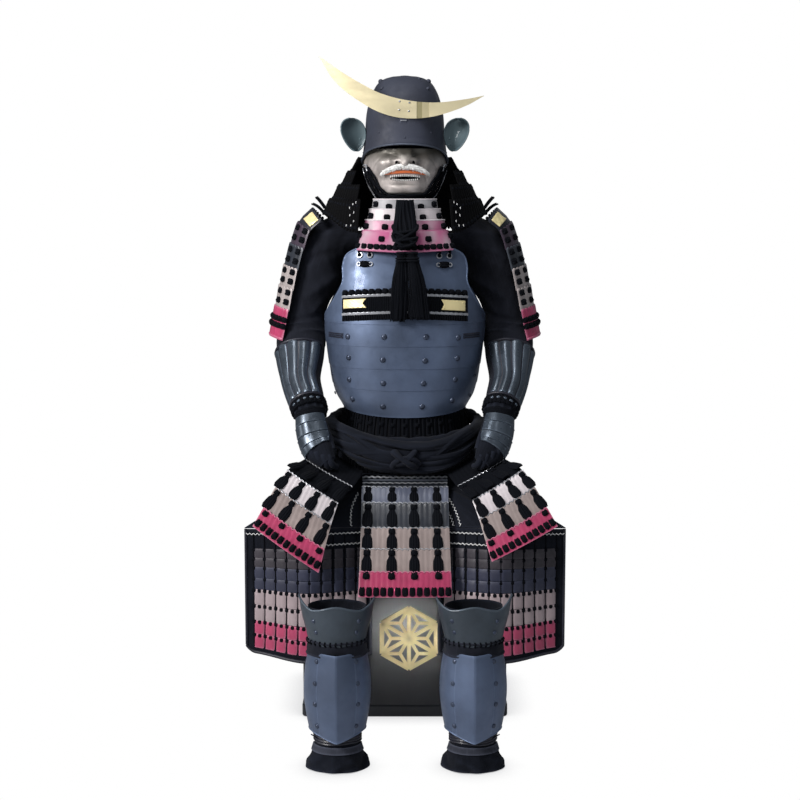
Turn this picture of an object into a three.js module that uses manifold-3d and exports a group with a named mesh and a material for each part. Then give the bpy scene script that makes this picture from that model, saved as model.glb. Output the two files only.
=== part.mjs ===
// Samurai armour set out on its storage chest and a plain stand.
// Millimetres, +Z up. The origin is the centre of the chest's underside, on the floor.
// -Y is the front. Left is -X and right is +X, as seen from the front.
import * as THREE from 'three';
import Module from 'manifold-3d';
import { mergeVertices } from 'three/addons/utils/BufferGeometryUtils.js';

const wasm = await Module();
wasm.setup();

// ---------------------------------------------------------------- driving dimensions
const PLATE = 2.4; // steel plate
const CLOTH = 2; // cloth wall
const SEAM = 0.4; // gap between neighbouring pieces
const LAME_PROUD = 3.4; // a lame's top edge stands this far over the lame above it
const LAME_STEP = 0.004; // share of a panel's height that the step between lames takes

const CHEST = { half: 255, deep: 197, height: 386, wall: 12, corner: 16 };
const LID = { top: 430, side: 372, thick: 14, over: 5 };
const ORNAMENT = { x: 10, z: 200, radius: 82, line: 7, thick: 2.5 };
const POST = { half: 19, y: 20, bottom: 430.4, top: 1536 };
const BAR = { half: 168, y: 20, deep: 15, bottom: 1168, top: 1194 };
const HEAD_REST = { radius: 44, bottom: 1536.4, top: 1560 };

// Cuirass hoops. Each row is a level with its half width and its depths before and behind the middle.
const TORSO_MIDDLE = -25;
const TORSO_POWER = 2.4;
const TORSO = [
  { z: 748, half: 152, front: 165, back: 150, reach: 152 },
  { z: 787, half: 172, front: 174, back: 158, reach: 172 },
  { z: 869, half: 187, front: 178, back: 162, reach: 187 },
  { z: 942, half: 197, front: 175, back: 165, reach: 197 },
  { z: 985, half: 198, front: 170, back: 165, reach: 198 },
  { z: 1030, half: 195, front: 161, back: 162, reach: 173 },
  { z: 1074, half: 190, front: 152, back: 158, reach: 151 },
  { z: 1115, half: 184, front: 138, back: 150, reach: 150 },
  { z: 1142, half: 180, front: 128, back: 145, reach: 139 },
  { z: 1160, half: 178, front: 122, back: 140, reach: 108 },
  { z: 1186, half: 174, front: 112, back: 133, reach: 84 },
];
const CUIRASS = { top: 1160, bottom: 748, sideRise: 16, sideGap: 0.012, backTop: 1182 };
const CHEST_BAND = { half: 150, top: 1050, bottom: 980, bow: 8, inner: 1.2, outer: 4.4 };
const STRAP = { inner: 66, outer: 98, thick: 3 };
const STRAP_ROUTE = [
  { at: 0, y: -140, z: 1161.5 },
  { at: 0.2, y: -110, z: 1187 },
  { at: 0.4, y: -55, z: 1197 },
  { at: 0.55, y: 5, z: 1195 },
  { at: 0.75, y: 60, z: 1198 },
  { at: 1, y: 98, z: 1184 },
];
const LACING = { top: 746.6, bottom: 612, half: 150, front: 163, back: 149, flare: 24, wall: 3 };

// Helmet bowl hoops, from the brim up.
const BOWL_MIDDLE = -20;
const BOWL_POWER = 2.3;
const BOWL = [
  { z: 1355, half: 108, front: 130, back: 119 },
  { z: 1400, half: 102, front: 130, back: 122 },
  { z: 1440, half: 98, front: 127, back: 122 },
  { z: 1480, half: 95, front: 121, back: 118 },
  { z: 1512, half: 88, front: 108, back: 106 },
  { z: 1542, half: 76, front: 88, back: 88 },
  { z: 1562, half: 60, front: 64, back: 64 },
  { z: 1572, half: 36, front: 38, back: 38 },
  { z: 1575, half: 10, front: 10, back: 10 },
];
const BRIM = { z: 1362, arch: 44 };

// Crescent: each row is a station across the front with its lower and upper edge.
const CRESCENT = [
  { x: -208, low: 1616.5, high: 1617.5 },
  { x: -176, low: 1565, high: 1595 },
  { x: -144, low: 1533, high: 1573 },
  { x: -99, low: 1502, high: 1547 },
  { x: -63, low: 1483, high: 1529 },
  { x: -17, low: 1470, high: 1515 },
  { x: 34, low: 1468, high: 1507 },
  { x: 84, low: 1476, high: 1506 },
  { x: 147, low: 1498, high: 1514 },
  { x: 190, low: 1521.5, high: 1522.5 },
];
const CRESCENT_PLATE = { y: -145.8, bend: 0.0006, thick: 1.5 };
const EAR = { x: 131, y: -78, half: 33, top: 1471, bottom: 1390, lean: 12, dish: 11, sweep: 10 };

// Neck guard lames, each from its top hoop to its bottom hoop. Open is the half angle left open in front.
const NECK_MIDDLE = -15;
const NECK_GUARD = [
  { top: 1376, bottom: 1338, half: [112, 134], front: [108, 120], back: [124, 138], open: 80, dip: 0, tail: 0 },
  { top: 1343, bottom: 1305, half: [138, 157], front: [123, 131], back: [141, 155], open: 62, dip: 0, tail: 0 },
  { top: 1310, bottom: 1270, half: [161, 180], front: [134, 141], back: [158, 172], open: 48, dip: 8, tail: 4 },
  { top: 1275, bottom: 1234, half: [184, 203], front: [144, 150], back: [175, 192], open: 43, dip: 40, tail: 40 },
];

// Face mask hoops, from the chin up.
const MASK_MIDDLE = -20;
const MASK = [
  { z: 1266, half: 68, front: 96 },
  { z: 1290, half: 80, front: 107 },
  { z: 1306, half: 88, front: 111 },
  { z: 1325, half: 95, front: 114 },
  { z: 1345, half: 100, front: 115 },
  { z: 1370, half: 99, front: 111 },
  { z: 1398, half: 94, front: 101 },
];
const MASK_TOP = 1396;
const MASK_BOTTOM = 1291;
const MOUTH = { z: 1326, half: 36, high: 8 };
const NOSE = { z: 1360, proud: 16, half: 19 };
const MOUSTACHE = { z: 1346, half: 62, droop: 15, high: 8, deep: 6, off: 3, spring: 3 };
const CHIN_CORD = { z: 1283, rise: 70, power: 4, open: 66, half: 6.5, inner: 2.8, outer: 5.8 };

// Throat guard lames, with the hoop's middle moved forward so that the lames lie before the shoulders.
const THROAT = [
  { top: 1275, bottom: 1247, half: [79, 84], front: [46, 48], middle: [-87, -86], dip: 0 },
  { top: 1251, bottom: 1221, half: [90, 97], front: [48, 51], middle: [-92, -93], dip: 0 },
  { top: 1225, bottom: 1196, half: [101, 106], front: [52, 55], middle: [-97, -99], dip: 2 },
  { top: 1200, bottom: 1154, half: [110, 124], front: [54, 55], middle: [-106, -123], dip: 6 },
];
const KNOT = [
  { at: 0, y: -151, z: 1274, wide: 22, deep: 8 },
  { at: 0.3, y: -160, z: 1238, wide: 26, deep: 10 },
  { at: 0.6, y: -179, z: 1202, wide: 31, deep: 14 },
  { at: 0.85, y: -194, z: 1172, wide: 27, deep: 12 },
  { at: 1, y: -198, z: 1157, wide: 16, deep: 9 },
];
const TASSEL = { top: { y: -206, z: 1152 }, endY: -217, deep: [7, 11] };
const TASSELS = [
  { name: 'tassel_left', topX: -10, endX: -20, endZ: 984, wide: [8, 16] },
  { name: 'tassel_right', topX: 12, endX: 31, endZ: 990, wide: [9, 23.5] },
];

// Sleeve centre line from the shoulder to the wrist, for the right arm.
const SLEEVE = [
  { at: 0, x: 120, y: 12, z: 1187, wide: 45, deep: 60 },
  { at: 0.12, x: 172, y: 8, z: 1176, wide: 55, deep: 62 },
  { at: 0.23, x: 211, y: 5, z: 1138, wide: 60, deep: 62 },
  { at: 0.35, x: 231, y: 5, z: 1082, wide: 61, deep: 60 },
  { at: 0.49, x: 254, y: 3, z: 1000, wide: 54.5, deep: 58 },
  { at: 0.62, x: 261, y: -8, z: 935, wide: 61.5, deep: 56 },
  { at: 0.73, x: 259.5, y: -50, z: 885, wide: 58, deep: 51 },
  { at: 0.84, x: 254, y: -105, z: 832, wide: 46, deep: 46 },
  { at: 0.93, x: 240, y: -150, z: 790, wide: 42, deep: 42 },
  { at: 1, x: 232, y: -178, z: 764, wide: 37, deep: 36 },
];
const SLEEVE_SEAM = { at: 0.56, gap: 0.0008 }; // the upper arm is sewn to the lower arm here
const SPLINTS = { from: 0.715, to: 0.965, start: -58, end: 150, count: 7, inner: 2.2, low: 2, ridge: 3 };
const GLOVE = [
  { at: 0, x: 230, y: -183, z: 758, wide: 33, deep: 29 },
  { at: 0.3, x: 223, y: -205, z: 722, wide: 38, deep: 27 },
  { at: 0.56, x: 212, y: -228, z: 688, wide: 39, deep: 25 },
  { at: 0.8, x: 199, y: -248, z: 668, wide: 34, deep: 21 },
  { at: 1, x: 184, y: -264, z: 650, wide: 22, deep: 13 },
];
const HAND_GUARD = { from: 0.08, to: 0.7, start: -62, end: 84, off: 1.4 };

// Shoulder guard: its outer line in the front view, from the top down, and its arc in plan.
const SHOULDER_LINE = [
  { at: 0, x: 228, z: 1251 },
  { at: 0.14, x: 264, z: 1218 },
  { at: 0.31, x: 287, z: 1159 },
  { at: 0.5, x: 305, z: 1096 },
  { at: 0.72, x: 322, z: 1021 },
  { at: 0.9, x: 335, z: 962 },
  { at: 1, x: 342, z: 934 },
];
const SHOULDER_ARC = { radius: 82, spread: 58, y: 0 };
const SHOULDER_LAMES = [0, 0.14, 0.29, 0.45, 0.6, 0.75, 1];

// Skirt panels, from the waist down. i columns are the edge nearer the front centre, o the other edge.
const SKIRT_PANELS = {
  center: {
    lames: [0, 0.18, 0.42, 0.64, 0.84, 1],
    rows: [
      { at: 0, ix: -104, iy: -213, iz: 605, ox: 104, oy: -213, oz: 605 },
      { at: 0.4, ix: -105, iy: -298, iz: 501, ox: 105, oy: -298, oz: 501 },
      { at: 1, ix: -110, iy: -375, iz: 348, ox: 110, oy: -375, oz: 348 },
    ],
  },
  front: {
    lames: [0, 0.25, 0.5, 0.665, 0.84, 1],
    rows: [
      { at: 0, ix: 100, iy: -224, iz: 618, ox: 212, oy: -152, oz: 678 },
      { at: 0.25, ix: 126, iy: -284, iz: 592, ox: 243, oy: -232, oz: 650 },
      { at: 0.5, ix: 158, iy: -345, iz: 569, ox: 279, oy: -310, oz: 639 },
      { at: 1, ix: 201, iy: -428, iz: 432, ox: 355, oy: -400, oz: 523 },
    ],
  },
  side: {
    lames: [0, 0.2, 0.4, 0.6, 0.8, 1],
    rows: [
      { at: 0, ix: 196, iy: -112, iz: 684, ox: 196, oy: 42, oz: 684 },
      { at: 0.5, ix: 252, iy: -138, iz: 572, ox: 252, oy: 58, oz: 572 },
      { at: 1, ix: 288, iy: -160, iz: 446, ox: 288, oy: 74, oz: 446 },
    ],
  },
  back: {
    lames: [0, 0.2, 0.4, 0.6, 0.8, 1],
    rows: [
      { at: 0, ix: 176, iy: 96, iz: 684, ox: 8, oy: 150, oz: 684 },
      { at: 0.5, ix: 204, iy: 146, iz: 572, ox: 9, oy: 196, oz: 572 },
      { at: 1, ix: 226, iy: 180, iz: 446, ox: 10, oy: 224, oz: 446 },
    ],
  },
};
const PANEL_BULGE = 5;
// The left front panel hangs this much lower at its inner corner, and the right one this much higher.
const FRONT_PANEL_TILT = 13;

// Thigh apron panels, for the right side: the plan bows forward over the thigh.
const APRON = { inner: 78, outer: 380, bow: -376, outerY: -330, thick: 3 };
const APRON_EDGE = [
  { z: 180, y: -350 },
  { z: 335, y: -326 },
  { z: 494, y: -262 },
  { z: 520, y: -252 },
];
const APRON_TOP = { inner: 492, middle: 512, outer: 503 };
const APRON_BOTTOM = { inner: 200, middle: 187, outer: 202, corner: 26 };
const APRON_WAIST = { half: 96, y: -186, z: 604, sideRise: 6 };
const APRON_FOLD = 14; // how far the cloth top crowns over the thighs

// Legs, for the right side.
const LEG = { x: 154, y: -548 };
const GAITER = [
  { z: 0, half: 73, front: 60 },
  { z: 32, half: 60, front: 52 },
  { z: 72, half: 50, front: 45 },
  { z: 120, half: 60, front: 52 },
  { z: 180, half: 67, front: 57 },
  { z: 240, half: 65, front: 55 },
  { z: 285, half: 55, front: 49 },
  { z: 330, half: 62, front: 53 },
  { z: 380, half: 66, front: 56 },
];
const SHIN = [
  { z: 70, half: 60, front: 57 },
  { z: 120, half: 70, front: 65 },
  { z: 175, half: 76, front: 70 },
  { z: 230, half: 73, front: 67 },
  { z: 278, half: 64, front: 60 },
];
const SHIN_PLATE = { top: 276, bottom: 92, point: 18, inner: 3, outer: 5.4, keel: 10 };
const SHIN_ANGLES = [-98, -66, -36, 0, 36, 66, 98];
const KNEE = [
  { z: 278, half: 61, front: 58 },
  { z: 320, half: 70, front: 63 },
  { z: 355, half: 79, front: 65 },
  { z: 400, half: 86, front: 65 },
];
const KNEE_PLATE = { bottom: 281, middle: 383, dip: 10, wing: 398, spread: 92 };

// Sash route, from the front centre to the back centre on the right side.
const SASH = [
  { at: 0, x: 0, y: -236, z: 662, high: 50, deep: 21 },
  { at: 0.12, x: 58, y: -234, z: 666, high: 48, deep: 21 },
  { at: 0.24, x: 108, y: -222, z: 680, high: 42, deep: 20 },
  { at: 0.36, x: 148, y: -190, z: 700, high: 32, deep: 18 },
  { at: 0.5, x: 176, y: -128, z: 713, high: 23, deep: 14 },
  { at: 0.66, x: 184, y: -40, z: 718, high: 20, deep: 11 },
  { at: 0.8, x: 160, y: 70, z: 718, high: 20, deep: 11 },
  { at: 0.9, x: 95, y: 136, z: 718, high: 20, deep: 11 },
  { at: 1, x: 0, y: 158, z: 718, high: 20, deep: 11 },
];
const SASH_KNOT = { x: 2, y: -278, z: 660, wide: 32, deep: 19, high: 25 };

// ---------------------------------------------------------------- colours
const finish = (color, roughness, metalness) => ({ color, roughness, metalness });
const FINISHES = {
  lacquer: finish(0x14181b, 0.45, 0),
  gold: finish(0xe8cf86, 0.35, 0.8),
  stand: finish(0x1b1a19, 0.6, 0),
  helmet: finish(0x2b303c, 0.42, 0.5),
  brass: finish(0xd9c48b, 0.3, 0.8),
  lacing: finish(0x121319, 0.85, 0),
  mask: finish(0x8f8a8b, 0.35, 0.7),
  hair: finish(0xf4f0e8, 0.9, 0),
  pink: finish(0xc04a78, 0.6, 0),
  cuirass: finish(0x4b5666, 0.4, 0.55),
  cloth: finish(0x15171d, 0.9, 0),
  splint: finish(0x3a444d, 0.35, 0.7),
  shin: finish(0x39404c, 0.4, 0.6),
};

const armour = new THREE.Group();

function add(name, geometry, finishName) {
  const mesh = new THREE.Mesh(geometry, new THREE.MeshStandardMaterial(FINISHES[finishName]));
  mesh.name = name;
  armour.add(mesh);
}

// ---------------------------------------------------------------- tools for shapes
const radians = THREE.MathUtils.degToRad;
const mix = THREE.MathUtils.lerp;
const point = (x, y, z) => new THREE.Vector3(x, y, z);
const soft = (t) => THREE.MathUtils.smoothstep(t, 0, 1);

function steps(count, from = 0, to = 1) {
  return Array.from({ length: count + 1 }, (_, i) => mix(from, to, i / count));
}

// The slope of a table's column at a row, from the rows beside it.
function slope(rows, i, key, name) {
  const before = rows[Math.max(0, i - 1)];
  const after = rows[Math.min(rows.length - 1, i + 1)];
  return (after[name] - before[name]) / (after[key] - before[key]);
}

// A table's column at a key, on a smooth curve through its rows. The key grows from row to row.
function read(rows, key, name, at) {
  const last = rows.length - 2;
  let i = 0;
  while (i < last && at > rows[i + 1][key]) i += 1;
  const span = rows[i + 1][key] - rows[i][key];
  const t = (at - rows[i][key]) / span;
  const rise = rows[i + 1][name] - rows[i][name];
  const leave = slope(rows, i, key, name) * span;
  const arrive = slope(rows, i + 1, key, name) * span;
  return rows[i][name] + t * (leave + t * (3 * rise - 2 * leave - arrive + t * (leave + arrive - 2 * rise)));
}

// Joins rings of points into one closed body. The ends are closed by a fan, by a strip between
// the ring's two halves, or by joining the last ring to the first. The inside of a wall is split
// along the same diagonals as its outside, so that the two never cross.
function skin(rings, ends, inside = () => false) {
  const count = rings[0].length;
  const points = rings.flat();
  const faces = [];
  const index = (i, j) => (i % rings.length) * count + (j % count);
  const spans = ends === 'loop' ? rings.length : rings.length - 1;
  for (let i = 0; i < spans; i += 1) {
    for (let j = 0; j < count; j += 1) {
      const [a, b, c, d] = [index(i, j), index(i, j + 1), index(i + 1, j + 1), index(i + 1, j)];
      faces.push(...(inside(i, j) ? [a, b, d, b, c, d] : [a, b, c, a, c, d]));
    }
  }
  const last = rings.length - 1;
  if (ends === 'fan') {
    [0, last].forEach((i) => {
      const centre = rings[i].reduce((sum, p) => sum.add(p), point(0, 0, 0)).divideScalar(count);
      points.push(centre);
      for (let j = 0; j < count; j += 1) {
        const pair = i === 0 ? [index(i, j + 1), index(i, j)] : [index(i, j), index(i, j + 1)];
        faces.push(points.length - 1, ...pair);
      }
    });
  }
  if (ends === 'strip') {
    for (let j = 0; j < count / 2 - 1; j += 1) {
      const [a, b, c, d] = [j, j + 1, count - 2 - j, count - 1 - j];
      faces.push(index(0, b), index(0, a), index(0, d), index(0, b), index(0, d), index(0, c));
      faces.push(index(last, a), index(last, b), index(last, c));
      faces.push(index(last, a), index(last, c), index(last, d));
    }
  }
  return solid(points, faces);
}

// A geometry of these points and faces, turned so that its faces point out.
function solid(points, faces) {
  let volume = 0;
  for (let i = 0; i < faces.length; i += 3) {
    const [a, b, c] = [points[faces[i]], points[faces[i + 1]], points[faces[i + 2]]];
    volume += a.dot(b.clone().cross(c));
  }
  const order = volume < 0 ? faces.slice().reverse() : faces;
  const geometry = new THREE.BufferGeometry();
  geometry.setAttribute('position', new THREE.Float32BufferAttribute(points.flatMap((p) => p.toArray()), 3));
  geometry.setIndex(order);
  geometry.computeVertexNormals();
  return geometry;
}

// A surface's point moved out along its normal. u runs left to right as seen from outside, and v runs down.
function lifted(surface, u, v, out) {
  const step = 1e-3;
  const across = surface(u + step, v).sub(surface(u - step, v));
  const down = surface(u, v + step).sub(surface(u, v - step));
  return surface(u, v).addScaledVector(down.cross(across).normalize(), out);
}

// The same points on the other side of the middle plane, when side is -1.
function sided(rings, side) {
  return rings.map((ring) => ring.map((p) => point(p.x * side, p.y, p.z)));
}

// A wall with free edges on a surface. Its faces lie between inner and outer, out from the surface.
function sheet(across, down, surface, inner, outer, side = 1) {
  const reach = (v) => (typeof outer === 'function' ? (u) => outer(u, v) : () => outer);
  const rings = down.map((v) => {
    const front = across.map((u) => lifted(surface, u, v, reach(v)(u)));
    const back = across.map((u) => lifted(surface, u, v, inner)).reverse();
    return [...front, ...back];
  });
  return skin(sided(rings, side), 'strip', (i, j) => j >= across.length);
}

// A hollow wall round a surface that closes on itself, open at both ends, or closed by a cap at its foot.
function hollow(count, down, surface, wall, side = 1, capped = false) {
  const angles = steps(count, 0, 2 * Math.PI).slice(0, count);
  const ring = (v, out) => angles.map((u) => lifted(surface, u, v, out));
  const outside = down.map((v) => ring(v, 0));
  const inside = down.map((v) => ring(v, -wall));
  const innerHalf = (i) => i >= down.length;
  if (!capped) return skin(sided([...outside, ...inside.reverse()], side), 'loop', innerHalf);
  inside.pop();
  return skin(sided([...outside.reverse(), ...inside], side), 'fan', innerHalf);
}

// A row of lames that overlap like shingles: rows of the wall, and its thickness at each of them.
function lameRows(edges) {
  return edges.flatMap((edge, i) => (i > 0 && i < edges.length - 1 ? [edge, edge + LAME_STEP] : [edge]));
}

function lameReach(edges) {
  return (u, v) => {
    let i = 0;
    while (i < edges.length - 2 && v > edges[i + 1] + LAME_STEP / 2) i += 1;
    const share = THREE.MathUtils.clamp((v - edges[i]) / (edges[i + 1] - edges[i]), 0, 1);
    return PLATE + LAME_PROUD * (1 - share);
  };
}

// A point of a rounded hoop. Angle 0 is the front, and a right angle is the right side.
function hoop(size, power, middle, angle, z) {
  const s = Math.sin(angle);
  const c = Math.cos(angle);
  const deep = c > 0 ? size.front : size.back;
  const reach = ((Math.abs(s) / size.half) ** power + (Math.abs(c) / deep) ** power) ** (-1 / power);
  return point(reach * s, middle - reach * c, z);
}

// The angle at which a hoop's front reaches a distance to the side.
function hoopAngle(size, power, x) {
  const share = Math.min(1, x / size.half);
  return Math.atan2(x, size.front * (1 - share ** power) ** (1 / power));
}

// A surface round a centre line. The angle is measured from the front to the outer side.
function along(rows) {
  const centre = (v) => point(...['x', 'y', 'z'].map((name) => read(rows, 'at', name, v)));
  return (angle, v) => {
    const heading = centre(v + 0.01).sub(centre(v - 0.01)).normalize();
    const front = point(0, -1, 0).addScaledVector(heading, heading.y).normalize();
    const out = front.clone().cross(heading);
    return centre(v)
      .addScaledVector(front, read(rows, 'at', 'deep', v) * Math.cos(angle))
      .addScaledVector(out, read(rows, 'at', 'wide', v) * Math.sin(angle));
  };
}

function block(x, y, z, width, depth, height) {
  return new THREE.BoxGeometry(width, depth, height).translate(x, y, z);
}

// Cuts one closed geometry out of another.
function cut(geometry, tool) {
  const [body, knife] = [geometry, tool].map((item) => {
    const bare = item.clone();
    bare.deleteAttribute('normal');
    bare.deleteAttribute('uv');
    const merged = mergeVertices(bare, 1e-4);
    const vertProperties = new Float32Array(merged.attributes.position.array);
    const triVerts = new Uint32Array(merged.index.array);
    return new wasm.Manifold(new wasm.Mesh({ numProp: 3, vertProperties, triVerts }));
  });
  const mesh = body.subtract(knife).getMesh();
  const result = new THREE.BufferGeometry();
  result.setAttribute('position', new THREE.Float32BufferAttribute(mesh.vertProperties, 3));
  result.setIndex([...mesh.triVerts]);
  return result;
}

// ---------------------------------------------------------------- chest and stand
function roundedRing(half, deep, corner, z) {
  const ring = [];
  [[1, 1, 0], [-1, 1, 90], [-1, -1, 180], [1, -1, 270]].forEach(([sx, sy, start]) => {
    steps(3, start, start + 90).forEach((angle) => {
      const x = sx * (half - corner) + corner * Math.cos(radians(angle));
      const y = sy * (deep - corner) + corner * Math.sin(radians(angle));
      ring.push(point(x, y, z));
    });
  });
  return ring;
}

function chestBody() {
  const { half, deep, height, wall, corner } = CHEST;
  return skin([
    roundedRing(half, deep, corner, 0),
    roundedRing(half, deep, corner, height),
    roundedRing(half - wall, deep - wall, corner / 2, height),
    roundedRing(half - wall, deep - wall, corner / 2, wall),
  ], 'fan');
}

function chestLid() {
  const inner = { half: CHEST.half + SEAM, deep: CHEST.deep + SEAM, corner: CHEST.corner };
  const outer = { half: inner.half + LID.over, deep: inner.deep + LID.over, corner: CHEST.corner + LID.over };
  return skin([
    roundedRing(inner.half, inner.deep, inner.corner, LID.top - LID.thick),
    roundedRing(inner.half, inner.deep, inner.corner, LID.side),
    roundedRing(outer.half, outer.deep, outer.corner, LID.side),
    roundedRing(outer.half, outer.deep, outer.corner, LID.top - 8),
    roundedRing(outer.half - 6, outer.deep - 6, outer.corner - 4, LID.top),
  ], 'fan');
}

// A hexagon divided into the triangles of the hemp-leaf pattern, cut through a thin plate.
function chestOrnament() {
  const corner = (i, radius = ORNAMENT.radius) => {
    return new THREE.Vector2(radius * Math.sin(radians(60 * i)), radius * Math.cos(radians(60 * i)));
  };
  const prism = (points, depth, back) => {
    const options = { depth, bevelEnabled: false };
    return new THREE.ExtrudeGeometry(new THREE.Shape(points), options).translate(0, 0, back);
  };
  let plate = prism(steps(5, 0, 5).map((i) => corner(i)), ORNAMENT.thick, 0);
  const rim = ORNAMENT.radius - ORNAMENT.line;
  steps(5, 0, 5).forEach((i) => {
    const [a, b, centre] = [corner(i, rim), corner(i + 1, rim), new THREE.Vector2(0, 0)];
    const heart = a.clone().add(b).add(centre).divideScalar(3);
    [[a, b, heart], [b, centre, heart], [centre, a, heart]].forEach((triangle) => {
      const middle = triangle.reduce((sum, p) => sum.add(p), new THREE.Vector2()).divideScalar(3);
      const opening = triangle.map((p) => p.clone().lerp(middle, 0.3));
      plate = cut(plate, prism(opening, 3 * ORNAMENT.thick, -ORNAMENT.thick));
    });
  });
  return plate.rotateX(Math.PI / 2).translate(ORNAMENT.x, -CHEST.deep - SEAM, ORNAMENT.z);
}

add('chest_body', chestBody(), 'lacquer');
add('chest_lid', chestLid(), 'lacquer');
add('chest_ornament', chestOrnament(), 'gold');

// The post passes the crossbar in a lap, with the bar cut away round it.
function standCrossbar() {
  const middle = (BAR.bottom + BAR.top) / 2;
  const high = BAR.top - BAR.bottom;
  const bar = block(0, BAR.y, middle, 2 * BAR.half, 2 * BAR.deep, high);
  const recess = block(0, POST.y - BAR.deep, middle, 2 * (POST.half + SEAM), 2 * BAR.deep, 2 * high);
  return cut(bar, recess);
}

function standPost() {
  const side = 2 * POST.half;
  const post = block(0, POST.y, (POST.bottom + POST.top) / 2, side, side, POST.top - POST.bottom);
  const deep = 2 * (BAR.deep + 2 * SEAM);
  const high = BAR.top - BAR.bottom + 2 * SEAM;
  const recess = block(0, POST.y + BAR.deep + SEAM, (BAR.bottom + BAR.top) / 2, 2 * side, deep, high);
  return cut(post, recess);
}

function standHead() {
  const { radius, bottom, top } = HEAD_REST;
  const profile = [
    [0, bottom], [radius, bottom], [radius, bottom + 8], [radius * 0.72, top - 5], [0, top],
  ];
  const shape = profile.map(([r, z]) => new THREE.Vector2(r, z));
  return new THREE.LatheGeometry(shape, 12).rotateX(Math.PI / 2).translate(0, BOWL_MIDDLE / 2, 0);
}

add('stand_post', standPost(), 'stand');
add('stand_crossbar', standCrossbar(), 'stand');
add('stand_head', standHead(), 'stand');

// ---------------------------------------------------------------- helmet
function bowlSurface(angle, v) {
  const edge = BRIM.z + BRIM.arch * Math.max(0, Math.cos(angle));
  const crown = BOWL[BOWL.length - 1].z;
  const z = mix(crown, edge, v);
  const size = Object.fromEntries(['half', 'front', 'back'].map((name) => [name, read(BOWL, 'z', name, z)]));
  return hoop(size, BOWL_POWER, BOWL_MIDDLE, angle, z);
}

function helmetBowl() {
  const down = [0.002, 0.03, 0.09, 0.2, 0.36, 0.56, 0.78, 1];
  const angles = steps(22, 0, 2 * Math.PI).slice(0, 22);
  const ring = (v, out) => angles.map((u) => lifted(bowlSurface, u, v, out));
  const rings = [...down.map((v) => ring(v, -PLATE)), ...down.slice().reverse().map((v) => ring(v, 0))];
  return skin(rings, 'fan', (i) => i >= down.length);
}

function crescent() {
  const { y, bend, thick } = CRESCENT_PLATE;
  const rings = CRESCENT.map(({ x, low, high }) => {
    const back = y + bend * x * x;
    const front = back - thick;
    return [point(x, back, low), point(x, back, high), point(x, front, high), point(x, front, low)];
  });
  return skin(rings, 'fan');
}

function earSurface(u, v) {
  const width = EAR.half * Math.sqrt(4 * v * (1 - v) + 0.02) * (1.08 - 0.42 * v);
  const x = EAR.x - EAR.lean * v + width * u;
  return point(x, EAR.y + EAR.dish * (1 - u * u) - EAR.sweep * u, mix(EAR.top, EAR.bottom, v));
}

function neckLame(lame) {
  const { top, bottom, half, front, back, open, dip, tail } = lame;
  const surface = (angle, v) => {
    const size = { half: mix(...half, v), front: mix(...front, v), back: mix(...back, v) };
    const forward = soft((Math.cos(angle) - Math.cos(radians(78))) / 0.5);
    const behind = soft((-Math.cos(angle) - 0.1) / 0.6);
    return hoop(size, 2, NECK_MIDDLE, angle, mix(top, bottom - dip * forward - tail * behind, v));
  };
  return sheet(steps(22, radians(open), radians(360 - open)), [0, 1], surface, 0, PLATE);
}

add('helmet_bowl', helmetBowl(), 'helmet');
add('crescent', crescent(), 'brass');
[['left', -1], ['right', 1]].forEach(([name, side]) => {
  const ear = sheet(steps(6, -1, 1), steps(8, 0.01, 0.99), earSurface, 0, PLATE, side);
  add(`helmet_ear_${name}`, ear, 'helmet');
});
NECK_GUARD.forEach((lame, i) => add(`neck_lame_${i + 1}`, neckLame(lame), 'lacing'));

// ---------------------------------------------------------------- face mask and throat guard
function maskSurface(angle, v) {
  const z = mix(MASK_TOP, MASK_BOTTOM, v);
  const front = read(MASK, 'z', 'front', z);
  const place = hoop({ half: read(MASK, 'z', 'half', z), front, back: front }, 2, MASK_MIDDLE, angle, z);
  const bridge = z > NOSE.z ? mix(1, 0.35, soft((z - NOSE.z) / 36)) : 1 - soft((NOSE.z - z) / 12);
  place.y -= NOSE.proud * bridge * Math.exp(-((place.x / NOSE.half) ** 2));
  return place;
}

function faceMask() {
  const down = [0, 0.18, 0.34, 0.42, 0.5, 0.66, 0.78, 0.9, 1];
  const wall = sheet(steps(16, radians(-82), radians(82)), down, maskSurface, 0, PLATE);
  const mouth = new THREE.CylinderGeometry(1, 1, 60, 12).scale(MOUTH.half, 1, MOUTH.high);
  return cut(wall, mouth.translate(0, MASK_MIDDLE - 110, MOUTH.z));
}

function moustache() {
  const rings = steps(10, -1, 1).map((t) => {
    const x = MOUSTACHE.half * t;
    const z = MOUSTACHE.z - MOUSTACHE.droop * t * t;
    const size = Math.sqrt(Math.max(0.06, 1 - t * t * t * t));
    const share = x / read(MASK, 'z', 'half', z);
    const face = MASK_MIDDLE - read(MASK, 'z', 'front', z) * Math.sqrt(1 - share * share);
    const centre = face - PLATE - MOUSTACHE.off - MOUSTACHE.deep - MOUSTACHE.spring * t * t;
    return steps(7, 0, 315).map((angle) => {
      const y = centre + MOUSTACHE.deep * size * Math.cos(radians(angle));
      return point(x, y, z + MOUSTACHE.high * size * Math.sin(radians(angle)));
    });
  });
  return skin(rings, 'fan');
}

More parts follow.
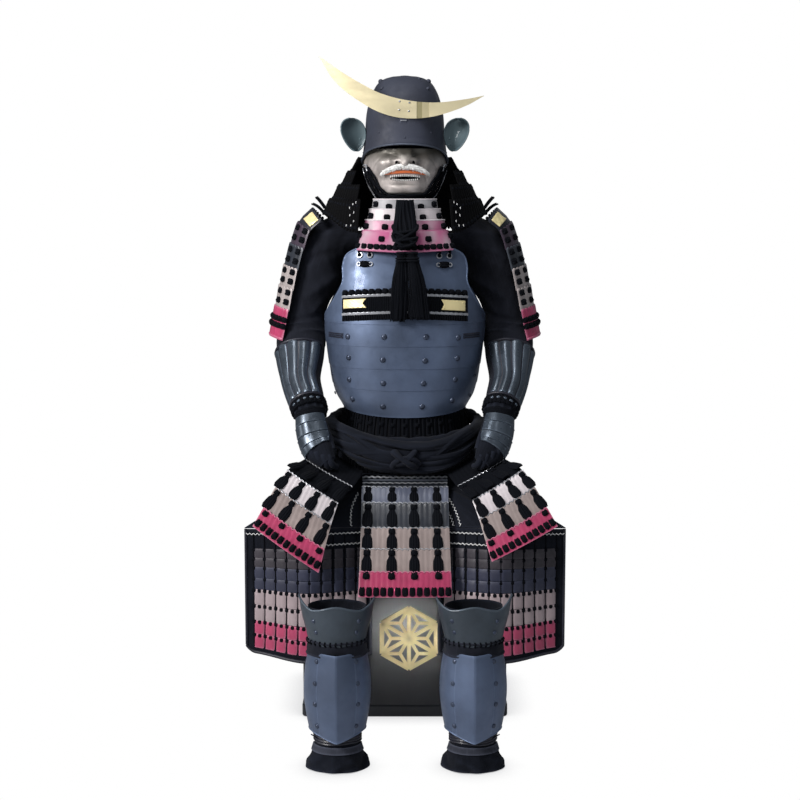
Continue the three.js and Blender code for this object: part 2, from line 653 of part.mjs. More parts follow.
// A flat cord along the jaw, from the helmet down under the chin and up again.
function chinCord() {
  const { z: low, rise, power, half, inner, outer } = CHIN_CORD;
  const open = radians(CHIN_CORD.open);
  const surface = (angle, v) => {
    const share = Math.abs(angle) / open;
    const centre = low + rise * share ** power;
    const steep = (power * rise * share ** (power - 1)) / (MASK[2].front * open);
    const z = centre + half * Math.sqrt(1 + steep * steep) * (1 - 2 * v);
    return maskSurface(angle, (MASK_TOP - z) / (MASK_TOP - MASK_BOTTOM));
  };
  return sheet(steps(20, -open, open), [0, 0.5, 1], surface, PLATE + inner, PLATE + outer);
}

function throatLame({ top, bottom, half, front, middle, dip }) {
  const surface = (angle, v) => {
    const size = { half: mix(...half, v), front: mix(...front, v), back: mix(...front, v) };
    const z = mix(top, bottom - dip * Math.cos(angle), v);
    return hoop(size, 2, mix(...middle, v), angle, z);
  };
  return sheet(steps(12, radians(-80), radians(80)), [0, 1], surface, 0, PLATE);
}

function chinKnot() {
  const rings = KNOT.map(({ y, z, wide, deep }) => steps(9, 0, 324).map((angle) => {
    return point(wide * Math.cos(radians(angle)), y + deep * Math.sin(radians(angle)), z);
  }));
  return skin(rings, 'fan');
}

function tassel({ topX, endX, endZ, wide }) {
  const { top, endY, deep } = TASSEL;
  const rings = steps(4).map((v) => {
    const grow = soft(Math.min(1, v * 1.4));
    return steps(7, 0, 315).map((angle) => point(
      mix(topX, endX, v) + mix(...wide, grow) * Math.cos(radians(angle)),
      mix(top.y, endY, v) + mix(...deep, grow) * Math.sin(radians(angle)),
      mix(top.z, endZ, v),
    ));
  });
  return skin(rings, 'fan');
}

add('face_mask', faceMask(), 'mask');
add('moustache', moustache(), 'hair');
add('chin_cord', chinCord(), 'lacing');
THROAT.forEach((lame, i) => add(`throat_lame_${i + 1}`, throatLame(lame), 'pink'));
add('chin_knot', chinKnot(), 'lacing');
TASSELS.forEach((item) => add(item.name, tassel(item), 'lacing'));

// ---------------------------------------------------------------- cuirass
function torsoSize(z) {
  const names = ['half', 'front', 'back', 'reach'];
  return Object.fromEntries(names.map((name) => [name, read(TORSO, 'z', name, z)]));
}

// The lower edge rises towards the sides.
function torsoLevel(angle, z) {
  const share = soft((TORSO[2].z - z) / (TORSO[2].z - CUIRASS.bottom));
  return z + CUIRASS.sideRise * share * Math.sin(angle) ** 2;
}

function frontSurface(u, v) {
  const z = mix(CUIRASS.top, CUIRASS.bottom, v);
  const size = torsoSize(z);
  const open = Math.min(Math.PI / 2 - CUIRASS.sideGap, hoopAngle(size, TORSO_POWER, size.reach));
  return hoop(size, TORSO_POWER, TORSO_MIDDLE, open * u, torsoLevel(open * u, z));
}

function backSurface(u, v) {
  const z = mix(CUIRASS.backTop, CUIRASS.bottom, v);
  const size = torsoSize(z);
  const mirrored = { half: size.half, front: size.back };
  const reach = size.reach + (size.half - size.reach) * 0.3;
  const open = Math.min(Math.PI / 2 - CUIRASS.sideGap, hoopAngle(mirrored, TORSO_POWER, reach));
  const angle = Math.PI + open * u;
  return hoop(size, TORSO_POWER, TORSO_MIDDLE, angle, torsoLevel(angle, z));
}

function levels(top, bottom, list) {
  return list.map((z) => (top - z) / (top - bottom));
}

function chestBand() {
  const { half, top, bottom, bow, inner, outer } = CHEST_BAND;
  const surface = (x, v) => {
    const z = mix(top, bottom, v) + bow * (1 - (x / half) ** 2);
    const size = torsoSize(z);
    return hoop(size, TORSO_POWER, TORSO_MIDDLE, Math.sign(x) * hoopAngle(size, TORSO_POWER, Math.abs(x)), z);
  };
  return sheet(steps(12, -half, half), [0, 0.5, 1], surface, PLATE + inner, PLATE + outer);
}

function shoulderStrap(side) {
  const surface = (u, v) => point(-mix(STRAP.inner, STRAP.outer, u), read(STRAP_ROUTE, 'at', 'y', v),
    read(STRAP_ROUTE, 'at', 'z', v));
  return sheet([0, 1], steps(9), surface, 0, STRAP.thick, side);
}

function lacingSurface(angle, v) {
  const flare = LACING.flare * v;
  const size = { half: LACING.half + flare, front: LACING.front + flare, back: LACING.back + flare };
  const rise = CUIRASS.sideRise * Math.sin(angle) ** 2 * (1 - v);
  return hoop(size, TORSO_POWER, TORSO_MIDDLE, angle, mix(LACING.top, LACING.bottom, v) + rise);
}

const FRONT_LEVELS = [1160, 1150, 1136, 1115, 1074, 1030, 985, 942, 905, 869, 828, 787, 766, 748];
const BACK_LEVELS = [1182, 1166, 1142, 1115, 1074, 1030, 985, 942, 869, 787, 766, 748];
const frontDown = levels(CUIRASS.top, CUIRASS.bottom, FRONT_LEVELS);
const backDown = levels(CUIRASS.backTop, CUIRASS.bottom, BACK_LEVELS);
add('cuirass_front', sheet(steps(14, -1, 1), frontDown, frontSurface, 0, PLATE), 'cuirass');
add('cuirass_back', sheet(steps(12, -1, 1), backDown, backSurface, 0, PLATE), 'cuirass');
add('chest_band', chestBand(), 'lacing');
add('shoulder_strap_left', shoulderStrap(1), 'lacing');
add('shoulder_strap_right', shoulderStrap(-1), 'lacing');
add('hanging_lacing', hollow(24, [0, 0.5, 1], lacingSurface, LACING.wall), 'lacing');

// ---------------------------------------------------------------- sash
function sash() {
  const otherHalf = SASH.slice(1, -1).reverse().map((row) => ({ ...row, x: -row.x }));
  const stations = [...SASH, ...otherHalf];
  const count = stations.length;
  const rings = stations.map((row, i) => {
    const [before, after] = [stations[(i + count - 1) % count], stations[(i + 1) % count]];
    const heading = point(after.x - before.x, after.y - before.y, after.z - before.z).normalize();
    const up = point(0, 0, 1).addScaledVector(heading, -heading.z).normalize();
    const out = heading.clone().cross(up);
    return steps(9, 0, 324).map((angle) => point(row.x, row.y, row.z)
      .addScaledVector(up, row.high * Math.sin(radians(angle)))
      .addScaledVector(out, row.deep * Math.cos(radians(angle))));
  });
  return skin(rings, 'loop');
}

function sashKnot() {
  const { x, y, z, wide, deep, high } = SASH_KNOT;
  return new THREE.SphereGeometry(1, 10, 7).scale(wide, high, deep).rotateX(Math.PI / 2).translate(x, y, z);
}

add('sash', sash(), 'cloth');
add('sash_knot', sashKnot(), 'cloth');

// ---------------------------------------------------------------- skirt panels
function skirtPanel({ rows, lames }, side, tilt = 0) {
  const column = (name, v) => read(rows, 'at', name, v);
  const surface = (u, v) => {
    const inner = point(column('ix', v), column('iy', v), column('iz', v) + tilt * v * v);
    const outer = point(column('ox', v), column('oy', v), column('oz', v));
    const place = inner.clone().lerp(outer, u);
    const outward = place.clone().sub(point(0, TORSO_MIDDLE, place.z)).normalize();
    return place.addScaledVector(outward, PANEL_BULGE * 4 * u * (1 - u));
  };
  return sheet(steps(5), lameRows(lames), surface, 0, lameReach(lames), side);
}

add('skirt_center', skirtPanel(SKIRT_PANELS.center, 1), 'pink');
[['left', -1], ['right', 1]].forEach(([name, side]) => {
  add(`skirt_front_${name}`, skirtPanel(SKIRT_PANELS.front, side, FRONT_PANEL_TILT * side), 'pink');
  add(`skirt_side_${name}`, skirtPanel(SKIRT_PANELS.side, side), 'pink');
  add(`skirt_back_${name}`, skirtPanel(SKIRT_PANELS.back, side), 'pink');
});

// ---------------------------------------------------------------- thigh apron
function apronY(x, z) {
  const share = (Math.abs(x) - APRON.inner) / (APRON.outer - APRON.inner);
  const edge = read(APRON_EDGE, 'z', 'y', z);
  if (share < 0.5) return mix(edge, APRON.bow, soft(Math.max(0, share) * 2));
  return mix(APRON.bow, APRON.outerY, soft(share * 2 - 1) * 0.7 + (share * 2 - 1) * 0.3);
}

function bowed({ inner, middle, outer }, x) {
  const share = THREE.MathUtils.clamp((Math.abs(x) - APRON.inner) / (APRON.outer - APRON.inner), 0, 1);
  return share < 0.5 ? mix(inner, middle, soft(share * 2)) : mix(middle, outer, soft(share * 2 - 1));
}

function apronPanel(side) {
  const { corner } = APRON_BOTTOM;
  const start = APRON.outer - corner;
  const surface = (x, v) => {
    const turn = Math.max(0, (x - start) / corner);
    const round = corner * (1 - Math.sqrt(Math.max(0, 1 - turn * turn)));
    const z = mix(bowed(APRON_TOP, x), bowed(APRON_BOTTOM, x) + round, v);
    return point(x, apronY(x, z), z);
  };
  const across = [...steps(7, APRON.inner, start), APRON.outer - 12, APRON.outer - 3];
  return sheet(across, steps(5), surface, 0, APRON.thick, side);
}

// The cloth top runs from the waist out over both thighs to the panels.
function apronTop() {
  const surface = (u, v) => {
    const x = mix(APRON_WAIST.half, APRON.outer, v) * u;
    const foot = bowed(APRON_TOP, APRON.outer * u) + 3 * SEAM;
    const z = mix(APRON_WAIST.z + APRON_WAIST.sideRise * u * u, foot, v);
    const y = mix(APRON_WAIST.y - 4 * (1 - u * u), apronY(APRON.outer * u, foot), Math.max(0, v) ** 1.6);
    const crown = APRON_FOLD * Math.sin(Math.PI * v) * soft((Math.abs(x) - 100) / 120);
    return point(x, y, z + crown);
  };
  return sheet(steps(16, -1, 1), steps(5), surface, 0, CLOTH);
}

add('apron_top', apronTop(), 'cloth');
add('apron_left', apronPanel(-1), 'cloth');
add('apron_right', apronPanel(1), 'cloth');

// ---------------------------------------------------------------- arms
const sleeveSurface = along(SLEEVE);
const gloveSurface = along(GLOVE);

function splintGuard(side) {
  const { from, to, start, end, count, inner, low, ridge } = SPLINTS;
  const across = steps(2 * count, radians(start), radians(end));
  const share = (u) => (u - across[0]) / (across[across.length - 1] - across[0]);
  const reach = (u) => inner + low + ridge * Math.abs(Math.sin(Math.PI * count * share(u)));
  return sheet(across, steps(6, from, to), sleeveSurface, inner, reach, side);
}

function handGuard(side) {
  const { from, to, start, end, off } = HAND_GUARD;
  const across = steps(6, radians(start), radians(end));
  return sheet(across, steps(4, from, to), gloveSurface, off, off + PLATE, side);
}

function shoulderSurface(angle, v) {
  const place = (t) => point(read(SHOULDER_LINE, 'at', 'x', t), 0, read(SHOULDER_LINE, 'at', 'z', t));
  const heading = place(v + 0.01).sub(place(v - 0.01)).normalize();
  const out = point(-heading.z, 0, heading.x);
  const drop = SHOULDER_ARC.radius * (1 - Math.cos(angle));
  const spot = place(v).addScaledVector(out, -drop);
  spot.y = SHOULDER_ARC.y + SHOULDER_ARC.radius * Math.sin(angle);
  return spot;
}

function shoulderGuard(side) {
  const spread = radians(SHOULDER_ARC.spread);
  const reach = lameReach(SHOULDER_LAMES);
  const outer = (u, v) => reach(u, v) - PLATE;
  return sheet(steps(6, -spread, spread), lameRows(SHOULDER_LAMES), shoulderSurface, -PLATE, outer, side);
}

const sleeveLevels = SLEEVE.map((row) => row.at);
const { at: seam, gap: seamGap } = SLEEVE_SEAM;
const upperLevels = [...sleeveLevels.filter((at) => at < seam), seam - seamGap / 2];
const lowerLevels = [seam + seamGap / 2, ...sleeveLevels.filter((at) => at > seam)];
[['left', -1], ['right', 1]].forEach(([name, side]) => {
  add(`sleeve_upper_${name}`, hollow(12, upperLevels, sleeveSurface, CLOTH, side), 'cloth');
  add(`sleeve_lower_${name}`, hollow(12, lowerLevels, sleeveSurface, CLOTH, side), 'cloth');
  add(`forearm_splints_${name}`, splintGuard(side), 'splint');
  add(`glove_${name}`, hollow(12, GLOVE.map((row) => row.at), gloveSurface, CLOTH, side, true), 'cloth');
  add(`hand_guard_${name}`, handGuard(side), 'splint');
  add(`shoulder_guard_${name}`, shoulderGuard(side), 'pink');
});

// ---------------------------------------------------------------- legs
function legSurface(table, keel = 0) {
  return (angle, z) => {
    const front = read(table, 'z', 'front', z);
    const size = { half: read(table, 'z', 'half', z), front, back: front };
    const place = hoop(size, 2, 0, angle, z);
    place.y -= keel * Math.max(0, 1 - Math.abs(angle) / radians(36));
    return place.add(point(LEG.x, LEG.y, 0));
  };
}

function gaiter(side) {
  const surface = legSurface(GAITER);
  const levelsDown = [374, 330, 285, 240, 180, 120, 72, 32, 1.2];
  return hollow(14, levelsDown.map((z) => -z), (angle, v) => surface(angle, -v), CLOTH, side);
}

function shinPlate(side) {
  const { top, bottom, point: tip, inner, outer, keel } = SHIN_PLATE;
  const surface = (angle, v) => {
    const foot = bottom - tip * Math.max(0, 1 - Math.abs(angle) / radians(66));
    return legSurface(SHIN, keel)(angle, mix(top, foot, v));
  };
  return sheet(SHIN_ANGLES.map(radians), steps(5), surface, inner - outer, 0, side);
}

function kneePlate(side) {
  const { bottom, middle, dip, wing, spread } = KNEE_PLATE;
  const surface = (angle, v) => {
    const share = angle / radians(spread);
    const ends = share > 0 ? wing : (wing + middle) / 2;
    const top = Math.abs(share) < 0.5
      ? middle - dip * soft(Math.abs(share) * 2)
      : mix(middle - dip, ends, soft(Math.abs(share) * 2 - 1));
    return legSurface(KNEE)(angle, mix(top, bottom, v));
  };
  return sheet(steps(10, radians(-spread), radians(spread)), steps(4), surface, -PLATE, 0, side);
}

[['left', -1], ['right', 1]].forEach(([name, side]) => {
  add(`gaiter_${name}`, gaiter(side), 'cloth');
  add(`shin_plate_${name}`, shinPlate(side), 'shin');
  add(`knee_plate_${name}`, kneePlate(side), 'shin');
});

export default armour;
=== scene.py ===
import math

import bpy
import numpy as np
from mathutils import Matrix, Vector


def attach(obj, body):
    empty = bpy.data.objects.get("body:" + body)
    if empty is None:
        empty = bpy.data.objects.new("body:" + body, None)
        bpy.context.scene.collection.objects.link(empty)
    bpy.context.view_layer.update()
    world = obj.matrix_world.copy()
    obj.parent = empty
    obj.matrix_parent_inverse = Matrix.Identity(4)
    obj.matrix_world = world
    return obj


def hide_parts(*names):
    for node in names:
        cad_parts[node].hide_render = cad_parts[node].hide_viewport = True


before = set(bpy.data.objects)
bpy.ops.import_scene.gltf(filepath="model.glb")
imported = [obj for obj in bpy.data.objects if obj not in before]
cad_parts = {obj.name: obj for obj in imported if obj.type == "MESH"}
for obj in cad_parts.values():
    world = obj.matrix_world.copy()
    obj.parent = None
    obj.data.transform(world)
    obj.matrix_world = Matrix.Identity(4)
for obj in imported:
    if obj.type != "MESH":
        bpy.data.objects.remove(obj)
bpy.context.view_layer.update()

MM = 0.001
STEP = 1e-3  # share of a surface used to measure its slope
SIDES = (("left", -1), ("right", 1))
PLATE = 2.4
CLOTH = 2.0
LAME_PROUD = 3.4  # how far the head of a lame stands out over the one above
FOOT = 0.6  # how far a stud or knot reaches into what it sits on
FULL = 2 * math.pi


# ------------------------------------------------------------------ camera, floor and lights
def make_camera():
    """A long lens in front of the object, a little above its middle and tipped down."""
    data = bpy.data.cameras.new("camera")
    data.sensor_width = 36
    data.lens = 76.9
    camera = bpy.data.objects.new("camera", data)
    camera.location = (-0.012, -4.3, 1.333)
    camera.rotation_euler = (math.radians(82.5), 0, 0)
    bpy.context.scene.collection.objects.link(camera)
    bpy.context.scene.camera = camera


def make_floor():
    """A white floor that fades into the white surroundings, with a soft shadow where the object stands."""
    bpy.ops.mesh.primitive_circle_add(vertices=64, radius=40, fill_type="NGON")
    floor = bpy.context.object
    floor.name = "floor"
    floor.location.z = -0.0005
    material = bpy.data.materials.new("floor")
    material.use_nodes = True
    tree = material.node_tree
    shader = tree.nodes["Principled BSDF"]
    shader.inputs["Base Color"].default_value = (0.6, 0.6, 0.61, 1)
    shader.inputs["Roughness"].default_value = 0.9
    shade_near = tree.nodes.new("ShaderNodeAmbientOcclusion")
    shade_near.inputs["Distance"].default_value = 0.12
    shade_near.samples = 8
    tone = tree.nodes.new("ShaderNodeValToRGB")
    tone.color_ramp.elements[0].position = 0.1
    tone.color_ramp.elements[0].color = (0.42, 0.42, 0.44, 1)
    tone.color_ramp.elements[1].position = 0.85
    tone.color_ramp.elements[1].color = (1, 1, 1, 1)
    glow = tree.nodes.new("ShaderNodeEmission")
    path = tree.nodes.new("ShaderNodeLightPath")
    mixed = tree.nodes.new("ShaderNodeMixShader")
    output = tree.nodes["Material Output"]
    tree.links.new(shade_near.outputs["AO"], tone.inputs["Fac"])
    tree.links.new(tone.outputs["Color"], glow.inputs["Color"])
    tree.links.new(path.outputs["Is Camera Ray"], mixed.inputs[0])
    tree.links.new(shader.outputs["BSDF"], mixed.inputs[1])
    tree.links.new(glow.outputs["Emission"], mixed.inputs[2])
    tree.links.new(mixed.outputs["Shader"], output.inputs["Surface"])
    floor.data.materials.append(material)


def make_light(name, location, target, size, power, color=(1, 1, 1)):
    data = bpy.data.lights.new(name, "AREA")
    data.size = size
    data.energy = power
    data.color = color
    light = bpy.data.objects.new(name, data)
    light.location = location
    direction = np.subtract(target, location)
    light.rotation_euler = Vector(direction).to_track_quat("-Z", "Y").to_euler()
    bpy.context.scene.collection.objects.link(light)
    return light


def make_world():
    """White behind the object, and a dim sky for its light and reflections."""
    world = bpy.data.worlds.new("studio")
    world.use_nodes = True
    tree = world.node_tree
    sky = tree.nodes["Background"]
    sky.inputs["Color"].default_value = (0.86, 0.92, 1.0, 1)
    sky.inputs["Strength"].default_value = 0.2
    white = tree.nodes.new("ShaderNodeBackground")
    white.inputs["Color"].default_value = (1, 1, 1, 1)
    path = tree.nodes.new("ShaderNodeLightPath")
    mixed = tree.nodes.new("ShaderNodeMixShader")
    tree.links.new(path.outputs["Is Camera Ray"], mixed.inputs[0])
    tree.links.new(sky.outputs["Background"], mixed.inputs[1])
    tree.links.new(white.outputs["Background"], mixed.inputs[2])
    tree.links.new(mixed.outputs["Shader"], tree.nodes["World Output"].inputs["Surface"])
    bpy.context.scene.world = world


def make_lights():
    """A strong light from the upper left, weak ones at the right, above and behind, and a low narrow one."""
    make_world()
    make_light("key", (-3.1, -2.5, 2.6), (0, 0, 0.9), 1.2, 160, (1.0, 0.98, 0.97))
    make_light("fill", (2.4, -3.0, 1.2), (0, 0, 0.7), 1.6, 5, (0.9, 0.95, 1.0))
    make_light("top", (-0.4, -1.0, 3.4), (0, -0.1, 1.0), 0.9, 26)
    make_light("back", (1.2, 3.2, 2.4), (0, 0, 0.9), 1.6, 5)
    low = make_light("low", (0.0, -2.3, 0.32), (0.01, -0.2, 0.2), 0.1, 0.055)
    low.data.spread = math.radians(9)


make_camera()
make_floor()
make_lights()
bpy.context.scene.view_settings.view_transform = "Standard"


# ------------------------------------------------------------------ materials
BAND = 0.314  # metres from band to band in a wave texture of scale 1
THREAD_PITCH = 0.0011
CORD_PITCH = 0.0024


class Shader:
    """A material under construction: its Principled shader and the textures that feed it."""

    def __init__(self, name, color, roughness, metallic=0.0, coat=0.0, sheen=0.0):
        self.material = bpy.data.materials.new(name)
        self.material.use_nodes = True
        self.tree = self.material.node_tree
        self.bsdf = self.tree.nodes["Principled BSDF"]
        self.color = color
        self.set("Base Color", (*color, 1))
        self.set("Roughness", roughness)
        self.set("Metallic", metallic)
        self.set("Coat Weight", coat)
        self.set("Sheen Weight", sheen)
        self.coords = self.tree.nodes.new("ShaderNodeTexCoord")
        self.height = None

    def set(self, socket, value):
        self.bsdf.inputs[socket].default_value = value

    def place(self, space, stretch):
        """Object or UV coordinates, stretched along their axes."""
        mapping = self.tree.nodes.new("ShaderNodeMapping")
        mapping.inputs["Scale"].default_value = stretch
        self.tree.links.new(self.coords.outputs[space], mapping.inputs["Vector"])
        return mapping.outputs["Vector"]

    def noise(self, scale, detail=3.0, stretch=(1, 1, 1), space="Object"):
        node = self.tree.nodes.new("ShaderNodeTexNoise")
        node.inputs["Scale"].default_value = scale
        node.inputs["Detail"].default_value = detail
        self.tree.links.new(self.place(space, stretch), node.inputs["Vector"])
        return node.outputs["Fac"]

    def wave(self, scale, direction, distortion, space="UV"):
        node = self.tree.nodes.new("ShaderNodeTexWave")
        node.bands_direction = direction
        node.inputs["Scale"].default_value = scale
        node.inputs["Distortion"].default_value = distortion
        self.tree.links.new(self.place(space, (1, 1, 1)), node.inputs["Vector"])
        return node.outputs["Fac"]

    def edges(self):
        """How sharply the surface turns outward: for worn edges, faded folds, darker hollows, painted shade
        in hollows and painted highlights on sharp edges.
        """
        return self.tree.nodes.new("ShaderNodeNewGeometry").outputs["Pointiness"]

    def ramp(self, factor, low, high, stops):
        """Colour stops between two values of a factor."""
        node = self.tree.nodes.new("ShaderNodeValToRGB")
        node.color_ramp.elements[0].position = low
        node.color_ramp.elements[0].color = (*stops[0], 1)
        node.color_ramp.elements[1].position = high
        node.color_ramp.elements[1].color = (*stops[1], 1)
        self.tree.links.new(factor, node.inputs["Fac"])
        return node.outputs["Color"]

    def spread(self, factor, low, high, to_low, to_high):
        """A factor's range from low to high brought to another range."""
        node = self.tree.nodes.new("ShaderNodeMapRange")
        for name, value in (("From Min", low), ("From Max", high), ("To Min", to_low), ("To Max", to_high)):
            node.inputs[name].default_value = value
        self.tree.links.new(factor, node.inputs["Value"])
        return node.outputs["Result"]

    def blend(self, factor, first, second, mode="MIX"):
        node = self.tree.nodes.new("ShaderNodeMix")
        node.data_type = "RGBA"
        node.blend_type = mode
        for name, value in (("Factor", factor), ("A", first), ("B", second)):
            kind = "NodeSocketFloatFactor" if name == "Factor" else "NodeSocketColor"
            socket = [s for s in node.inputs if s.name == name and s.bl_idname.startswith(kind)][0]
            if isinstance(value, bpy.types.NodeSocket):
                self.tree.links.new(value, socket)
            else:
                socket.default_value = value
        return [s for s in node.outputs if s.bl_idname == "NodeSocketColor"][0]

    def paint(self, color):
        """A colour that comes from other nodes."""
        self.tree.links.new(color, self.bsdf.inputs["Base Color"])

    def gloss(self, factor, low, high):
        """Roughness that varies with a factor."""
        self.tree.links.new(self.spread(factor, 0.3, 0.7, low, high), self.bsdf.inputs["Roughness"])

    def bump(self, height, strength, distance):
        """Relief in the shading, on top of any that was added before."""
        node = self.tree.nodes.new("ShaderNodeBump")
        node.inputs["Strength"].default_value = strength
        node.inputs["Distance"].default_value = distance
        self.tree.links.new(height, node.inputs["Height"])
        if self.height is not None:
            self.tree.links.new(self.height, node.inputs["Normal"])
        self.height = node.outputs["Normal"]
        self.tree.links.new(self.height, self.bsdf.inputs["Normal"])


def shade(color, factor):
    return tuple(min(1.0, c * factor) for c in color)


def steel(name, color, roughness=0.4, metallic=0.6, worn=2.2, coat=0.12):
    """Lacquered or blued steel: cloudy tone, fine scratches, brighter worn edges."""
    s = Shader(name, color, roughness, metallic, coat=coat)
    clouds = s.noise(9, 4)
    base = s.ramp(clouds, 0.35, 0.68, (shade(color, 0.78), shade(color, 1.22)))
    bright_edge = s.spread(s.edges(), 0.52, 0.6, 0, 0.55)
    s.paint(s.blend(bright_edge, base, (*shade(color, worn), 1)))
    s.gloss(s.noise(55, 5), roughness - 0.08, roughness + 0.12)
    s.bump(s.noise(420, 3, (1, 1, 0.08)), 0.06, 0.0005)
    s.bump(s.noise(30, 2), 0.12, 0.0015)
    return s.material


def mask_metal(name, clean, shade_tone):
    """Bare iron that is clean at the cheeks and chin and darkens in patches; painted shadow darkens it up
    under the helmet's brim, and painted shade darkens its hollows.
    """
    s = Shader(name, clean, 0.42, 0.35)
    patches = s.ramp(s.noise(22, 4, (1, 1, 0.8)), 0.40, 0.60, (shade(clean, 0.55), clean))
    # Painted shadow: toward the top the iron turns to the shade tone, where the helmet's brim shades the
    # face; painted shade darkens the hollows too.
    split = s.tree.nodes.new("ShaderNodeSeparateXYZ")
    s.tree.links.new(s.coords.outputs["Object"], split.inputs["Vector"])
    under = s.spread(split.outputs["Z"], 1.352, 1.388, 0.0, 0.88)
    hollow = s.spread(s.edges(), 0.5, 0.45, 0, 0.75)
    base = s.blend(under, patches, (*shade_tone, 1))
    s.paint(s.blend(hollow, base, (*shade_tone, 1)))
    s.gloss(s.noise(50, 5), 0.36, 0.54)
    s.bump(s.noise(60, 4), 0.25, 0.0012)
    return s.material


def brass(name, color, roughness=0.28, metallic=1.0):
    s = Shader(name, color, roughness, metallic)
    tone = s.ramp(s.noise(14, 4), 0.3, 0.7, (shade(color, 0.86), shade(color, 1.08)))
    s.paint(tone)
    s.gloss(s.noise(70, 4, (0.15, 1, 1)), roughness - 0.08, roughness + 0.1)
    s.bump(s.noise(500, 2, (0.06, 1, 1)), 0.05, 0.0004)
    return s.material


def lacquer(name, color, roughness=0.36, coat=0.35, variation=0.16, bright_edge=None):
    """Lacquer over lames: soft tone changes, brush marks down the plate, darker hollows, and sharp edges
    lightened as a painted highlight.
    """
    s = Shader(name, color, roughness, 0.0, coat=coat)
    s.set("Coat Roughness", 0.25)
    base = s.ramp(s.noise(16, 4), 0.3, 0.7, (shade(color, 1 - variation), shade(color, 1 + variation)))
    streaks = s.spread(s.noise(160, 3, (1, 1, 0.1)), 0.35, 0.7, 0, 0.3)
    base = s.blend(streaks, base, (*shade(color, 0.72), 1))
    hollow = s.spread(s.edges(), 0.5, 0.44, 0, 0.6)
    base = s.blend(hollow, base, (*shade(color, 0.45), 1))
    # A painted highlight: the sharp edges are lightened.
    lit = s.spread(s.edges(), 0.53, 0.6, 0, 0.5)
    s.paint(s.blend(lit, base, (*(bright_edge or shade(color, 1.6)), 1)))
    s.gloss(s.noise(60, 3), roughness - 0.06, roughness + 0.14)
    s.bump(s.noise(90, 3), 0.15, 0.0008)
    return s.material


def faded_pink(name, pale, deep):
    """Lacquer that has faded unevenly from pink to a pinkish white."""
    s = Shader(name, pale, 0.4, 0.0, coat=0.2)
    s.set("Coat Roughness", 0.25)
    s.paint(s.ramp(s.noise(17, 1.5, (1, 1, 0.6)), 0.40, 0.62, (pale, deep)))
    s.gloss(s.noise(60, 3), 0.34, 0.5)
    s.bump(s.noise(90, 3), 0.15, 0.0008)
    return s.material


def weave(name, color):
    """Plain-woven cloth: crossing threads at their real pitch, faded on the folds, with slubs."""
    s = Shader(name, color, 0.9, sheen=0.04)
    s.set("Sheen Roughness", 0.5)
    s.set("Specular IOR Level", 0.12)
    turns = BAND / THREAD_PITCH
    warp = s.wave(turns, "X", 1.0)
    weft = s.wave(turns, "Y", 1.0)
    threads = s.blend(0.5, warp, weft, "ADD")
    base = s.ramp(s.noise(11, 4), 0.3, 0.72, (shade(color, 0.6), shade(color, 1.3)))
    slubs = s.spread(s.noise(260, 2, (1, 0.05, 1), "UV"), 0.55, 0.75, 0, 0.5)
    base = s.blend(slubs, base, (*shade(color, 1.8), 1))
    faded = s.spread(s.edges(), 0.51, 0.58, 0, 0.6)
    s.paint(s.blend(faded, base, (*shade(color, 2.4), 1)))
    s.bump(threads, 0.35, 0.0004)
    s.bump(s.noise(40, 3), 0.25, 0.002)
    return s.material


def braid(name, color, pitch=CORD_PITCH):
    """Silk cord: slanting strands, a soft sheen and a slight fuzz."""
    s = Shader(name, color, 0.78, 0.0, sheen=0.02)
    s.set("Sheen Roughness", 0.4)
    s.set("Specular IOR Level", 0.07)
    strands = s.wave(BAND / pitch, "DIAGONAL", 2.0, "Object")
    s.paint(s.ramp(strands, 0.2, 0.8, (shade(color, 0.5), shade(color, 1.6))))
    s.bump(strands, 0.4, 0.0008)
    s.bump(s.noise(700, 2), 0.2, 0.0003)
    return s.material


def hair(name, color):
    s = Shader(name, color, 0.55, 0.0, sheen=0.4)
    s.paint(s.ramp(s.noise(300, 3, (1, 1, 0.2)), 0.3, 0.7, (shade(color, 0.8), shade(color, 1.1))))
    s.bump(s.noise(900, 2, (1, 1, 0.1)), 0.3, 0.0004)
    return s.material


def leather(name, color):
    s = Shader(name, color, 0.5, 0.0, coat=0.1)
    grain = s.tree.nodes.new("ShaderNodeTexVoronoi")
    grain.inputs["Scale"].default_value = 650
    s.tree.links.new(s.coords.outputs["Object"], grain.inputs["Vector"])
    s.paint(s.ramp(s.noise(40, 4), 0.3, 0.7, (shade(color, 0.7), shade(color, 1.5))))
    s.bump(grain.outputs["Distance"], 0.25, 0.0005)
    return s.material


def wood(name, color):
    s = Shader(name, color, 0.5, 0.0)
    grain = s.noise(30, 5, (1, 1, 0.06))
    s.paint(s.ramp(grain, 0.3, 0.7, (shade(color, 0.6), shade(color, 1.7))))
    s.bump(grain, 0.2, 0.0006)
    return s.material
